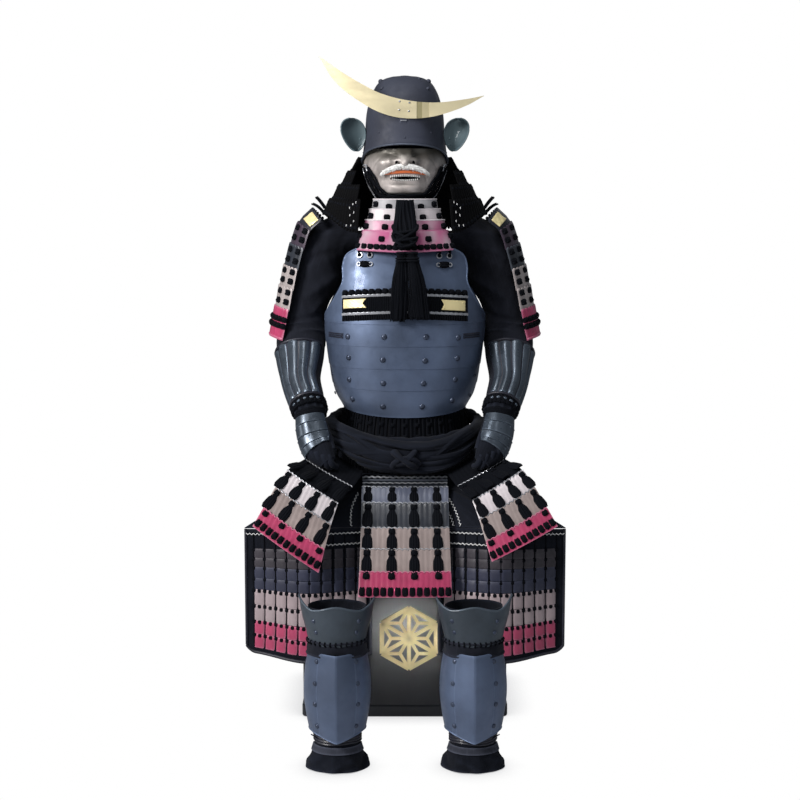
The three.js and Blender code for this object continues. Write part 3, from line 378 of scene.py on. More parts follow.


# For lacquer, a last colour, where given, is that of the painted highlight along its sharp edges.
LOOKS = {
    "lacquer": lacquer("black_lacquer", (0.0075, 0.0095, 0.0140), 0.4, 0.2),
    "gold": brass("gold", (0.98, 0.80, 0.42), 0.42, 0.25),
    "stand_wood": wood("stand_wood", (0.030, 0.026, 0.022)),
    "helmet_iron": steel("helmet_iron", (0.034, 0.039, 0.060), 0.66, 0.12, 1.8, 0.0),
    "rim_iron": steel("rim_iron", (0.060, 0.072, 0.100), 0.45, 0.4, 1.8),
    "ear_iron": steel("ear_iron", (0.078, 0.116, 0.132), 0.55, 0.25, 2.0),
    "pale_brass": brass("pale_brass", (0.92, 0.81, 0.52), 0.4, 0.4),
    # Two darker copies of the pale brass, as painted shade on the crescent's fold.
    "brass_dark_shade": brass("brass_dark_shade", (0.42, 0.37, 0.20), 0.45, 0.4),
    "brass_shade": brass("brass_shade", (0.66, 0.58, 0.35), 0.45, 0.4),
    # The mask's second colour is painted shade, under the helmet's brim and in the hollows.
    "mask_iron": mask_metal("mask_metal", (0.62, 0.56, 0.53), (0.10, 0.095, 0.075)),
    "mask_edge": steel("mask_edge", (0.10, 0.095, 0.09), 0.45, 0.4, 1.6),
    "hair": hair("white_hair", (0.95, 0.94, 0.90)),
    "teeth": brass("teeth", (0.88, 0.88, 0.86), 0.35, 0.1),
    "lips": lacquer("lips", (0.80, 0.17, 0.045), 0.32),
    "blued_steel": steel("blued_steel", (0.096, 0.130, 0.208), 0.46, 0.5),
    "bright_steel": steel("bright_steel", (0.070, 0.088, 0.112), 0.3, 0.6, 3.0),
    "dull_steel": steel("dull_steel", (0.055, 0.072, 0.092), 0.5, 0.5),
    "rivet_steel": steel("rivet_steel", (0.045, 0.058, 0.092), 0.34, 0.6, 1.8),
    "black_cloth": weave("black_cloth", (0.0070, 0.0086, 0.0140)),
    "sleeve_cloth": weave("sleeve_cloth", (0.0115, 0.0130, 0.0195)),
    "grey_cloth": weave("grey_cloth", (0.042, 0.046, 0.062)),
    "black_lacing": braid("black_lacing", (0.0055, 0.0058, 0.0075)),
    "black_cord": braid("black_cord", (0.0034, 0.0042, 0.0066)),
    # A darker copy of the black lacing, as painted shade: on the neck guard, behind the mouth and in the
    # nostrils.
    "deep_shade_black": braid("deep_shade_black", (0.0020, 0.0021, 0.0026)),
    "white_lace": lacquer("white_lames", (0.66, 0.60, 0.62), 0.38, 0.25, 0.08),
    "bone_lace": lacquer("bone_lames", (0.42, 0.37, 0.36), 0.4, 0.2, 0.12),
    "dusty_white": lacquer("dusty_white_lames", (0.40, 0.32, 0.335), 0.52, 0.08, 0.14),
    "grey_lace": lacquer("grey_lames", (0.42, 0.41, 0.43), 0.36, 0.25, 0.1),
    "slate_lace": lacquer("slate_lames", (0.115, 0.130, 0.185), 0.36, 0.25, 0.12, (0.4, 0.42, 0.5)),
    "beige_lace": lacquer("beige_lames", (0.33, 0.265, 0.25), 0.38, 0.25, 0.14),
    "pink_lace": lacquer("pink_lames", (0.47, 0.046, 0.130), 0.36, 0.3, 0.18, (0.8, 0.35, 0.5)),
    "soft_pink": faded_pink("soft_pink_lames", (0.50, 0.36, 0.42), (0.46, 0.085, 0.22)),
    "deep_pink": lacquer("deep_pink_rims", (0.44, 0.075, 0.19), 0.36, 0.3, 0.10, (0.8, 0.4, 0.6)),
    "dark_lame": lacquer("dark_lames", (0.022, 0.026, 0.036), 0.36, 0.3, 0.2, (0.16, 0.18, 0.22)),
    "plum_lame": lacquer("plum_lames", (0.036, 0.031, 0.040), 0.58, 0.04, 0.2, (0.09, 0.08, 0.10)),
    "purple_lace": lacquer("purple_lames", (0.052, 0.034, 0.054), 0.38, 0.25, 0.15),
    "leather": leather("dark_leather", (0.011, 0.012, 0.022)),
    "silver": steel("silver_edging", (0.40, 0.41, 0.44), 0.32, 0.6, 1.4),
    "blue_lame": lacquer("blue_lames", (0.023, 0.027, 0.056), 0.58, 0.04, 0.2, (0.08, 0.09, 0.15)),
    "thread": braid("white_thread", (0.72, 0.72, 0.72), 0.0016),
}


# ------------------------------------------------------------------ tools for shapes
def table(names, *rows):
    """A table with named columns, one row for each section."""
    return {name: np.array([row[i] for row in rows], float) for i, name in enumerate(names.split())}


def row_of(rows, i):
    return {name: column[i] for name, column in rows.items()}


def read(rows, key, name, at):
    """A table's column at a key, on a smooth curve through its rows."""
    keys, values = rows[key], rows[name]
    last = len(keys) - 1
    before, after = np.maximum(np.arange(last + 1) - 1, 0), np.minimum(np.arange(last + 1) + 1, last)
    slopes = (values[after] - values[before]) / (keys[after] - keys[before])
    at = np.asarray(at, float)
    i = np.clip(np.searchsorted(keys, at) - 1, 0, last - 1)
    span = keys[i + 1] - keys[i]
    t = (at - keys[i]) / span
    rise = values[i + 1] - values[i]
    leave, arrive = slopes[i] * span, slopes[i + 1] * span
    return values[i] + t * (leave + t * (3 * rise - 2 * leave - arrive + t * (leave + arrive - 2 * rise)))


def mix(a, b, t):
    return a + (b - a) * t


def soft(t):
    t = np.clip(t, 0, 1)
    return t * t * (3 - 2 * t)


def place(x, y, z):
    return np.stack(np.broadcast_arrays(x, y, z), -1).astype(float)


def circle(count):
    """Angles at even steps round a full turn."""
    return np.linspace(0, FULL, count + 1)[:-1]


def unit(a):
    return a / np.maximum(np.linalg.norm(a, axis=-1, keepdims=True), 1e-12)


def frames(surface, u, v, out=0.0):
    """Points on a surface, moved out, with the directions across, down and out there."""
    u, v = np.broadcast_arrays(np.asarray(u, float), np.asarray(v, float))
    across = surface(u + STEP, v) - surface(u - STEP, v)
    down = surface(u, v + STEP) - surface(u, v - STEP)
    outward = unit(np.cross(down, across))
    across = unit(across)
    spot = surface(u, v) + outward * np.broadcast_to(out, u.shape)[..., None]
    return spot, across, np.cross(across, outward), outward


def lifted(surface, u, v, out):
    return frames(surface, u, v, out)[0]


def lengths(points):
    return np.concatenate([[0], np.cumsum(np.linalg.norm(np.diff(points, axis=0), axis=1))])


def signed_volume(verts, faces):
    """Six times the volume that the faces enclose, below 0 where they point inward."""
    verts = verts - verts.mean(0)
    total = 0.0
    for f in faces:
        for k in range(1, f.shape[1] - 1):
            total += np.einsum("ij,ij->", verts[f[:, 0]], np.cross(verts[f[:, k]], verts[f[:, k + 1]]))
    return total


def part(verts, faces, uv=None, look=0):
    """A closed body, with its faces turned out. Faces are a list of index arrays of one width each."""
    verts = np.asarray(verts, float).reshape(-1, 3)
    faces = [np.asarray(f, int) for f in faces if len(f)]
    if signed_volume(verts, faces) < 0:
        faces = [f[:, ::-1] for f in faces]
    uv = np.zeros((len(verts), 2)) if uv is None else np.asarray(uv, float).reshape(-1, 2)
    return {"verts": verts, "faces": faces, "uv": uv, "look": look}


def shell_points(front, back, wrap=False, look=0):
    """A wall between two grids of points, closed at its free edges. wrap joins its two side edges."""
    rows, cols = front.shape[:2]
    index = np.arange(rows * cols).reshape(rows, cols)
    if wrap:
        index = np.concatenate([index, index[:, :1]], 1)
    quads = np.stack([index[:-1, :-1], index[1:, :-1], index[1:, 1:], index[:-1, 1:]], -1).reshape(-1, 4)
    shift = rows * cols
    faces = [quads, quads[:, ::-1] + shift]
    borders = [index[0], index[-1][::-1]]
    if not wrap:
        borders += [index[::-1, 0], index[:, -1]]
    for line in borders:
        faces.append(np.stack([line[:-1], line[1:], line[1:] + shift, line[:-1] + shift], -1))
    across = lengths(front[rows // 2]) * MM
    down = lengths(front[:, cols // 2]) * MM
    uv = np.stack(np.meshgrid(across, down), -1).reshape(-1, 2)
    verts = np.concatenate([front.reshape(-1, 3), back.reshape(-1, 3)])
    return part(verts, faces, np.concatenate([uv, uv]), look)


def shell(surface, us, vs, inner, outer, wrap=False, look=0):
    """A wall on a surface, between two distances out from it. Either may be a function of u and v."""
    u, v = np.meshgrid(us, vs)
    front, back = (lifted(surface, u, v, f(u, v) if callable(f) else f) for f in (outer, inner))
    return shell_points(front, back, wrap, look)


def edged(low, high, count, rim):
    """Even steps, with one more close to each end for a rounded rim."""
    inside = np.linspace(low + rim, high - rim, count)
    return np.concatenate([[low], inside, [high]])


def rounded_plate(surface, us, vs, inner, outer, drop, look=0):
    """A plate like a shell, whose outer face falls by the drop at its four edges."""

    def face(u, v):
        side_edge = np.isclose(u, us[0]) | np.isclose(u, us[-1])
        end_edge = np.isclose(v, vs[0]) | np.isclose(v, vs[-1])
        return (outer(u, v) if callable(outer) else outer) - drop * (side_edge | end_edge)

    return shell(surface, us, vs, inner, face, look=look)


def tube(points, radius, sides=8, flat=1.0, look=0):
    """A round or flattened tube along points, with closed ends. radius may vary from point to point."""
    points = np.asarray(points, float)
    count = len(points)
    heading = unit(np.gradient(points, axis=0))
    side = np.cross(heading, np.array([0, 0, 1.0]))
    upright = np.linalg.norm(side, axis=1, keepdims=True) < 1e-3
    side = unit(np.where(upright, np.array([1.0, 0, 0]), side))
    lift = np.cross(side, heading)
    angle = circle(sides)
    c, s = np.cos(angle)[None, :, None], np.sin(angle)[None, :, None]
    radius = np.broadcast_to(np.asarray(radius, float), (count,))[:, None, None]
    ring = c * side[:, None] + flat * s * lift[:, None]
    verts = (points[:, None] + radius * ring).reshape(-1, 3)
    index = np.arange(count * sides).reshape(count, sides)
    nxt = np.roll(index, -1, 1)
    quads = np.stack([index[:-1], nxt[:-1], nxt[1:], index[1:]], -1).reshape(-1, 4)
    tips = np.stack([points[0], points[-1]])
    first, last = count * sides, count * sides + 1
    caps = np.concatenate([
        np.stack([nxt[0], index[0], np.full(sides, first)], -1),
        np.stack([index[-1], nxt[-1], np.full(sides, last)], -1),
    ])
    run = lengths(points) * MM
    uv = np.stack([np.tile(angle / (FULL) * 0.01, count), np.repeat(run, sides)], -1)
    uv = np.concatenate([uv, [[0, run[0]], [0, run[-1]]]])
    return part(np.concatenate([verts, tips]), [quads, caps], uv, look)


def laid(surface, u, v, out, radius, sides=8, flat=1.0, look=0):
    """A tube along a line on a surface, with its middle a distance out."""
    return tube(lifted(surface, u, v, out), radius, sides, flat, look)


def dome(radius, high, sides=10, rings=4, power=2.0):
    """A domed stud or pillow: x across, y down, z out. A higher power makes it squarer."""
    angle = circle(sides)
    c, s = np.cos(angle), np.sin(angle)
    rim = (np.abs(c) ** power + np.abs(s) ** power) ** (-1 / power)
    verts = [place(radius * rim * c, radius * rim * s, -FOOT)]
    for k in range(rings):
        t = k / rings * math.pi / 2
        reach = math.cos(t)
        verts.append(place(radius * rim * c * reach, radius * rim * s * reach, high * math.sin(t)))
    index = np.arange((rings + 1) * sides).reshape(rings + 1, sides)
    nxt = np.roll(index, -1, 1)
    quads = np.stack([index[:-1], nxt[:-1], nxt[1:], index[1:]], -1).reshape(-1, 4)
    top, bottom = (rings + 1) * sides, (rings + 1) * sides + 1
    caps = np.concatenate([
        np.stack([index[-1], nxt[-1], np.full(sides, top)], -1),
        np.stack([nxt[0], index[0], np.full(sides, bottom)], -1),
    ])
    verts = np.concatenate([np.concatenate(verts), [[0, 0, high], [0, 0, -FOOT]]])
    return part(verts, [quads, caps], verts[:, :2] * MM)


def stamp(template, spots, look=None, size=1.0):
    """Copies of a template at frames on a surface. size may differ from copy to copy."""
    origin, across, down, outward = (np.asarray(a).reshape(-1, 3) for a in spots)
    count, n = len(origin), len(template["verts"])
    size = np.broadcast_to(np.asarray(size, float), (count,))[:, None, None]
    v = template["verts"][None] * size
    verts = origin[:, None] + v[..., :1] * across[:, None] + v[..., 1:2] * down[:, None]
    verts = verts + v[..., 2:] * outward[:, None]
    shift = (np.arange(count) * n)[:, None, None]
    faces = [(f[None] + shift).reshape(-1, f.shape[1]) for f in template["faces"]]
    uv = np.tile(template["uv"], (count, 1))
    made = part(verts.reshape(-1, 3), [], uv, template["look"] if look is None else look)
    made["faces"] = faces
    if count and signed_volume(verts[0], template["faces"]) < 0:
        made["faces"] = [f[:, ::-1] for f in faces]
    return made


def joined(*parts, look=0):
    """One template or part made of several."""
    made = {"verts": [], "faces": [], "uv": [], "look": look}
    count = 0
    for p in parts:
        made["verts"].append(p["verts"])
        made["uv"].append(p["uv"])
        made["faces"] += [f + count for f in p["faces"]]
        count += len(p["verts"])
    made["verts"] = np.concatenate(made["verts"])
    made["uv"] = np.concatenate(made["uv"])
    return made


def sized(p, size):
    """A template made wider, taller and thicker."""
    return {**p, "verts": p["verts"] * np.asarray(size, float)}


def flipped(p):
    """The same part on the other side of the middle plane."""
    return {**p, "verts": p["verts"] * np.array([-1.0, 1, 1]), "faces": [f[:, ::-1] for f in p["faces"]]}


def make_piece(name, parts, looks, side=1, smooth=38, stands_for=()):
    """Joins parts into one object in metres that rides with the armour. A part's look picks from looks. It
    stands for the solid of its own name, if there is one, or for those that stands_for names."""
    parts = [flipped(p) for p in parts] if side < 0 else list(parts)
    verts = np.concatenate([p["verts"] for p in parts]) * MM
    uv = np.concatenate([p["uv"] for p in parts])
    loops, sizes, which, count = [], [], [], 0
    for p in parts:
        for f in p["faces"]:
            loops.append((f + count).reshape(-1))
            sizes.append(np.full(len(f), f.shape[1]))
            which.append(np.full(len(f), p["look"]))
        count += len(p["verts"])
    loops, sizes, which = np.concatenate(loops), np.concatenate(sizes), np.concatenate(which)
    mesh = bpy.data.meshes.new(name)
    mesh.vertices.add(len(verts))
    mesh.vertices.foreach_set("co", verts.reshape(-1).astype(np.float32))
    mesh.loops.add(len(loops))
    mesh.loops.foreach_set("vertex_index", loops.astype(np.int32))
    mesh.polygons.add(len(sizes))
    starts = np.concatenate([[0], np.cumsum(sizes)[:-1]])
    mesh.polygons.foreach_set("loop_start", starts.astype(np.int32))
    mesh.polygons.foreach_set("material_index", which.astype(np.int32))
    mesh.polygons.foreach_set("use_smooth", np.ones(len(sizes), bool))
    layer = mesh.uv_layers.new(name="flat")
    layer.data.foreach_set("uv", uv[loops].reshape(-1).astype(np.float32))
    mesh.update(calc_edges=True)
    mesh.validate()
    for look in looks:
        mesh.materials.append(LOOKS[look])
    mesh.set_sharp_from_angle(angle=math.radians(smooth))
    thing = bpy.data.objects.new(name, mesh)
    bpy.context.scene.collection.objects.link(thing)
    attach(thing, "root")
    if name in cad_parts:
        stands_for = [name]
    if stands_for:
        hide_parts(*stands_for)
    return thing


def loft(rings, wrap=False, look=0):
    """Closed rings of points joined into one body: wrap joins the last ring to the first."""
    rings = np.asarray(rings, float)
    rows, cols = rings.shape[:2]
    index = np.arange(rows * cols).reshape(rows, cols)
    if wrap:
        index = np.concatenate([index, index[:1]], 0)
    nxt = np.roll(index, -1, 1)
    faces = [np.stack([index[:-1], nxt[:-1], nxt[1:], index[1:]], -1).reshape(-1, 4)]
    verts = rings.reshape(-1, 3)
    uv = np.stack(np.meshgrid(lengths(rings[0]) * MM, lengths(rings[:, 0]) * MM), -1).reshape(-1, 2)
    if not wrap:
        ends = np.stack([rings[0].mean(0), rings[-1].mean(0)])
        first, last = len(verts), len(verts) + 1
        faces.append(np.concatenate([
            np.stack([nxt[0], index[0], np.full(cols, first)], -1),
            np.stack([index[-1], nxt[-1], np.full(cols, last)], -1),
        ]))
        verts = np.concatenate([verts, ends])
        uv = np.concatenate([uv, [[0, 0], [0, 0]]])
    return part(verts, faces, uv, look)


def creases(rows, scale_u, scale_v, period=None):
    """Soft troughs and ridges on a surface, in millimetres, each along a line between two places on it."""

    def field(u, v):
        total = np.zeros(np.broadcast(u, v).shape)
        for u0, v0, u1, v1, wide, deep in rows:
            du = u - u0
            if period:
                du = (du + period / 2) % period - period / 2
            a, b = du * scale_u, (v - v0) * scale_v
            run_a, run_b = (u1 - u0) * scale_u, (v1 - v0) * scale_v
            length = math.hypot(run_a, run_b)
            along_it = np.clip((a * run_a + b * run_b) / length ** 2, 0, 1)
            off = np.hypot(a - along_it * run_a, b - along_it * run_b)
            taper = 0.35 + 0.65 * np.sin(math.pi * np.clip(along_it, 0.02, 0.98)) ** 0.7
            total += deep * taper * np.exp(-((off / wide) ** 2))
        return total

    return field


# ------------------------------------------------------------------ templates for lacing and fastenings
def cross_knot():
    """Two flat cords crossing over a small pad."""
    wide, high, deep, cord = 7.0, 6.2, 3.4, 3.0
    run = np.linspace(-1, 1, 5)
    arch = deep * (1 - 0.75 * run ** 2)
    first = tube(place(wide * 0.62 * run, high * 0.62 * run, arch), cord, 5, 0.7)
    second = tube(place(wide * 0.62 * run, -high * 0.62 * run, arch * 0.8), cord, 5, 0.7)
    pad = sized(dome(1, deep * 0.8, 10, 2, 3.5), (wide * 0.98, high * 0.98, 1))
    return joined(pad, first, second)


def bell():
    """Cords that leave a knot side by side and swell into a rounded block as they run down the plate."""
    top, foot, deep, cords = 6.5, 11.0, 4.2, 4
    a, b = np.meshgrid(np.linspace(-1, 1, 3 * cords + 1), np.array([0, 0.12, 0.3, 0.55, 0.8, 0.93, 1.0]))
    half = mix(top, foot, soft(b * 2.6)) * (1 - 0.28 * soft((b - 0.8) / 0.2))
    groove = 0.72 + 0.28 * np.abs(np.cos(0.5 * math.pi * cords * (a + 1) + math.pi / 2))
    out = deep * groove * np.sqrt(np.clip(1.08 - a ** 2, 0.02, 1)) * (0.7 + 0.4 * np.sin(math.pi * b))
    x, y = a * half, b * BELL_LONG - 0.5
    return shell_points(place(x, y, out), place(x, y, -0.8))


def stud(radius, high=None):
    return dome(radius, high or radius * 0.6, 12, 4)


def ring_template(radius, thick):
    angle = np.linspace(0, FULL, 21)
    return tube(place(radius * np.cos(angle), radius * np.sin(angle), thick), thick, 6)


BELL_LONG = 28.0
KNOT = cross_knot()
PAD = sized(dome(1, 3.0, 8, 2, 3.5), (6.8, 6.2, 1))
BELL = bell()


# ------------------------------------------------------------------ laced lames
CORD = 3  # the place of the cords' look in the looks of every laced piece
LAME_THICK = 1.6
FULL_KNOT_LAME = 44  # a lame this tall takes knots of full size
FOOT_ROW = 14.0  # from the row of long knots to the lower edge
LIP = 0.9  # how far the edges of a lame are rounded off
SCALLOP = 5.6


def fallen(s):
    """How far the rounded head of a scale falls from its middle, at s = 0, to its sides, at -1 and 1."""
    return 1 - np.sqrt(np.clip(1 - (0.96 * s) ** 2, 0, 1))


def lame(surface, span, v0, v1, scales, look=0, scallop=0.0, ridge=0.9, out=(LAME_PROUD + PLATE, PLATE),
         rows=6, foot_scallop=0.0):
    """One lame: a row of small scales whose rounded heads make the scalloped top edge."""
    u = np.linspace(span[0], span[1], 4 * scales + 1)
    t = np.array([0, 0.03, 0.09, *np.linspace(0.2, 0.97, rows - 3), 1.0])
    across, run = np.meshgrid(u, t)
    s = ((across - span[0]) / (span[1] - span[0]) * scales) % 1.0 * 2 - 1
    head = fallen(s)
    v = mix(v0 + scallop * head, v1 - foot_scallop * head, run)
    relief = ridge * (1 - np.abs(s) ** 3)
    roll = -LIP * (run < 0.01) - LIP * 0.25 * ((run > 0.01) & (run < 0.04)) - LIP * 0.5 * (run > 0.99)
    face = mix(out[0], out[1], run) + relief + roll
    back = mix(out[0], out[1], run) - LAME_THICK
    return shell_points(lifted(surface, across, v, face), lifted(surface, across, v, back), look=look)


def panel_height(surface):
    return lengths(surface(np.full(21, 0.5), np.linspace(0, 1, 21)))[-1]


def laced_rows(surface, edges, rows, columns, scales, foot_knots=0, bells_too=True, knot_levels=(0.2,),
               knot_size=1.0, rim=None, foot_size=(1.02, 1.55, 1.0)):
    """Lames from the top down, with a knot and spreading cords at each column. rows gives each lame's look,
    and whether its cords show. foot_knots is the number of long knots along the lower edge of the last lame.
    rim is the look of the pale line along the scalloped heads."""
    parts = []
    high = panel_height(surface)
    u = np.asarray(columns, float)
    for i, (look, laced) in enumerate(rows):
        top, bottom = edges[i], edges[i + 1]
        tall = (bottom - top) * high
        last = i == len(rows) - 1
        tuck = 0 if last else 0.10 * (bottom - top)
        parts.append(lame(surface, (0, 1), top, bottom + tuck, scales, look, SCALLOP / high))
        if not laced:
            continue
        if rim is not None:
            along = np.linspace(0.004, 0.996, 6 * scales + 1)
            arch = fallen((along * scales) % 1.0 * 2 - 1)
            edge = lifted(surface, along, top + (SCALLOP * arch + 0.6) / high, PLATE + LAME_PROUD + 0.7)
            parts.append(tube(edge, 1.3, 5, look=look if last else rim))
        size = min(1.0, tall / FULL_KNOT_LAME)
        reach = PLATE + LAME_PROUD * 0.8 + 0.5
        for share in knot_levels:
            level = top + share * (bottom - top)
            parts.append(stamp(KNOT, frames(surface, u, level, reach), CORD, size * knot_size))
        if bells_too and not last:
            start = top + 0.32 * (bottom - top)
            long = (bottom - start) * high / BELL_LONG * 1.06
            bells = sized(BELL, (size * math.sqrt(knot_size), long, 1))
            parts.append(stamp(bells, frames(surface, u, start, PLATE + 1.6), CORD))
    if foot_knots:
        at = (np.arange(foot_knots) + 0.5) / foot_knots
        spots = frames(surface, at, edges[-1] - FOOT_ROW / high, PLATE + 1.2)
        parts.append(stamp(sized(KNOT, foot_size), spots, CORD))
    return parts


# ------------------------------------------------------------------ chest
CHEST = {"half": 255, "deep": 197, "height": 386, "wall": 12, "corner": 16}
LID = {"top": 430, "side": 372, "thick": 14}
ORNAMENT = {"x": 10, "z": 200, "radius": 82, "thick": 2.5}


def box_ring(half, deep, corner, z, count=8):
    points = []
    for sx, sy, start in ((1, 1, 0), (-1, 1, 90), (-1, -1, 180), (1, -1, 270)):
        angle = np.radians(np.linspace(start, start + 90, count))
        points.append(place(sx * (half - corner) + corner * np.cos(angle),
                            sy * (deep - corner) + corner * np.sin(angle), z))
    return np.concatenate(points)


def box_loft(rows, look=0):
    """A rounded box from rows of half width, half depth, corner and height."""
    return loft([box_ring(*row) for row in rows], look=look)


def make_chest():
    """A lacquered chest with a raised foot, a lid that overlaps its walls, and a gilt ornament in front."""
    half, deep, height, corner = CHEST["half"], CHEST["deep"], CHEST["height"], CHEST["corner"]
    wall = CHEST["wall"]
    body = box_loft([
        (half - 2, deep - 2, corner - 2, 0), (half, deep, corner, 2.5), (half, deep, corner, 26),
        (half - 3, deep - 3, corner - 2, 29), (half - 3, deep - 3, corner - 2, height - 2),
        (half - 4, deep - 4, corner - 3, height), (half - wall, deep - wall, corner / 2, height),
        (half - wall, deep - wall, corner / 2, wall),
    ])
    make_piece("chest_body", [body], ["lacquer"])
    inner = (half + 0.4, deep + 0.4, corner)
    side, top = LID["side"], LID["top"]

    def outer(inset, corner_inset, z):
        return half + 5.4 - inset, deep + 5.4 - inset, corner + 5 - corner_inset, z

    lid = box_loft([
        (*inner, top - LID["thick"]), (*inner, side + 1), outer(2, 2, side), outer(0, 0, side + 2),
        outer(0, 0, side + 9), outer(1.6, 1.6, side + 11), outer(1.6, 1.6, top - 11), outer(0, 0, top - 9),
        outer(0, 0, top - 6), outer(2, 1, top - 2), outer(6, 4, top),
    ])
    make_piece("chest_lid", [lid], ["lacquer"])
    make_piece("chest_ornament", ornament(), ["gold"], smooth=30)


def ornament():
    """A hexagon divided into triangles as in the hemp-leaf pattern, with bevelled bars."""
    y = -CHEST["deep"] - 0.4

    def corner(i, radius):
        angle = math.radians(60 * i)
        return np.array([radius * math.sin(angle), radius * math.cos(angle)])

    def bar(a, b, wide=5.0):
        run = b - a
        side = np.array([-run[1], run[0]]) / np.linalg.norm(run)
        thick = ORNAMENT["thick"]
        profile = ((-1, 0), (-1, 1.7), (-0.72, thick), (0.72, thick), (1, 1.7), (1, 0))
        rings = []
        for p in (a, b):
            edges = [(p + side * wide * s, h) for s, h in profile]
            rings.append([(ORNAMENT["x"] + q[0], y - h, ORNAMENT["z"] + q[1]) for q, h in edges])
        return loft(rings)

    bars = []
    rim = ORNAMENT["radius"] - 5
    for i in range(6):
        a, b, centre = corner(i, rim), corner(i + 1, rim), np.zeros(2)
        heart = (a + b) / 3
        bars += [bar(a, b, 5.6), bar(a, centre)]
        bars += [bar(end, heart, 4.2) for end in (a, b, centre)]
    return bars


# ------------------------------------------------------------------ helmet
BOWL_MIDDLE, BOWL_POWER = -20, 2.3
BOWL = table(
    "z half front back",
    (1355, 108, 130, 119), (1400, 102, 130, 122), (1440, 98, 127, 122), (1480, 95, 121, 118),
    (1512, 88, 108, 106), (1542, 76, 88, 88), (1562, 60, 64, 64), (1572, 36, 38, 38), (1575, 10, 10, 10))
BRIM = {"z": 1362, "arch": 44}
CROWN = 1575


def hoop(half, front, back, power, middle, angle, z):
    """A point of a rounded hoop. Angle 0 is the front, and a right angle is the right side."""
    s, c = np.sin(angle), np.cos(angle)
    deep = np.where(c > 0, front, back)
    reach = ((np.abs(s) / half) ** power + (np.abs(c) / deep) ** power) ** (-1 / power)
    return place(reach * s, middle - reach * c, z)


def bowl_surface(angle, v):
    edge = BRIM["z"] + BRIM["arch"] * np.maximum(0, np.cos(angle))
    z = mix(CROWN, edge, v)
    half, front, back = (read(BOWL, "z", name, z) for name in ("half", "front", "back"))
    return hoop(half, front, back, BOWL_POWER, BOWL_MIDDLE, angle, z)


def make_helmet():
    """The bowl with its knobs and rivets, the crescent, an ear plate on each side and the neck guard."""
    angles = circle(88)
    down = np.concatenate([[0.004, 0.012, 0.03, 0.05], np.linspace(0.08, 0.985, 34), [1.0]])

    def face(u, v):
        swell = 1.6 * np.exp(-(((v - 0.97) / 0.03) ** 2)) * (v < 0.999)
        return swell * soft((np.cos(u) + 0.2) / 0.4)

    parts = [shell(bowl_surface, angles, down, -PLATE, face, wrap=True)]
    top = (np.array([[0, BOWL_MIDDLE, CROWN - 0.6]]), np.array([[1.0, 0, 0]]), np.array([[0, -1.0, 0]]),
           np.array([[0, 0, 1.0]]))
    parts.append(stamp(dome(13, 1.6, 24, 4), top))
    around = np.linspace(-math.pi, math.pi, 121)
    parts.append(laid(bowl_surface, around, 0.995, 0.6, 2.3, 8, look=1))
    knobs = table("angle z size", (-66, 1560, 1.0), (62, 1560, 1.0), (38, 1566, 0.6), (40, 1541, 0.75),
                  (-40, 1541, 0.75), (150, 1556, 1.0), (-150, 1556, 1.0))
    angle = np.radians(knobs["angle"])
    edge = BRIM["z"] + BRIM["arch"] * np.maximum(0, np.cos(angle))
    share = (CROWN - knobs["z"]) / (CROWN - edge)
    knob_at = frames(bowl_surface, angle, share, -0.3)
    parts.append(stamp(dome(6.4, 6.5, 14, 5), knob_at, None, knobs["size"]))
    rivets = table("angle v", (-31, 0.80), (31, 0.80), (0, 0.90), (-75, 0.93), (75, 0.93), (-110, 0.92),
                   (110, 0.92), (-145, 0.92), (145, 0.92), (180, 0.92), (-64, 0.7), (64, 0.7))
    parts.append(stamp(stud(2.2, 1.0), frames(bowl_surface, np.radians(rivets["angle"]), rivets["v"], 0.6)))
    make_piece("helmet_bowl", parts, ["helmet_iron", "rim_iron"])
    make_crescent()
    for name, side in SIDES:
        make_ear(f"helmet_ear_{name}", side)
    make_neck_guard()


CRESCENT = table(
    "x low high",
    (-208, 1616.5, 1617.5), (-176, 1565, 1595), (-144, 1533, 1573), (-99, 1502, 1547), (-63, 1483, 1529),
    (-17, 1470, 1515), (34, 1468, 1507), (84, 1476, 1506), (147, 1498, 1514), (190, 1521.5, 1522.5))


def make_crescent():
    """A pale brass crescent with an upright fold right of the middle, whose shade is painted on in two darker
    brass looks.
    """
    parts = []
    t = np.linspace(0, 1, 5)
    # The two strips of the fold are set back and take darker brass: painted shade of the fold.
    strips = ((-208, 28, 0.0, 0), (28, 41, 1.0, 3), (41, 58, 0.6, 4), (58, 190, 0.0, 0))
    for start, end, sunk, look in strips:
        x = np.linspace(start, end, 12 + int((end - start) / 6))
        low, high = read(CRESCENT, "x", "low", x), read(CRESCENT, "x", "high", x)
        across, share = np.meshgrid(x, t)
        z = mix(high, low, share)
        back = -145.8 + 0.0006 * across ** 2 + sunk
        parts.append(shell_points(place(across, back - 1.5, z), place(across, back, z), look=look))
    spots = place(np.array([-13.0, 10.6, -14, 9.2]), -147.6, np.array([1508.0, 1505, 1488, 1485]))
    ones = np.ones((4, 1))
    facing = (spots, ones * [1.0, 0, 0], ones * [0, 0, -1.0], ones * [0, -1.0, 0])
    parts.append(stamp(stud(2.4, 1.2), facing, 1))
    tongue = box_loft([(8, 2.5, 2, 0), (9, 3.5, 2, 1), (9, 3.5, 2, 48), (8, 2.5, 2, 49)], 2)
    tongue["verts"] = tongue["verts"] + np.array([-3.5, -142.0, 1456.0])
    lip = box_loft([(7.5, 1.2, 1, 0), (7.5, 1.2, 1, 2.2)], 1)
    lip["verts"] = lip["verts"] + np.array([-3.5, -146.6, 1462.0])
    looks = ["pale_brass", "silver", "helmet_iron", "brass_dark_shade", "brass_shade"]
    make_piece("crescent", [*parts, tongue, lip], looks)


EAR = {"x": 131, "y": -78, "half": 33, "top": 1471, "bottom": 1390, "lean": 12, "dish": 11, "sweep": 10}


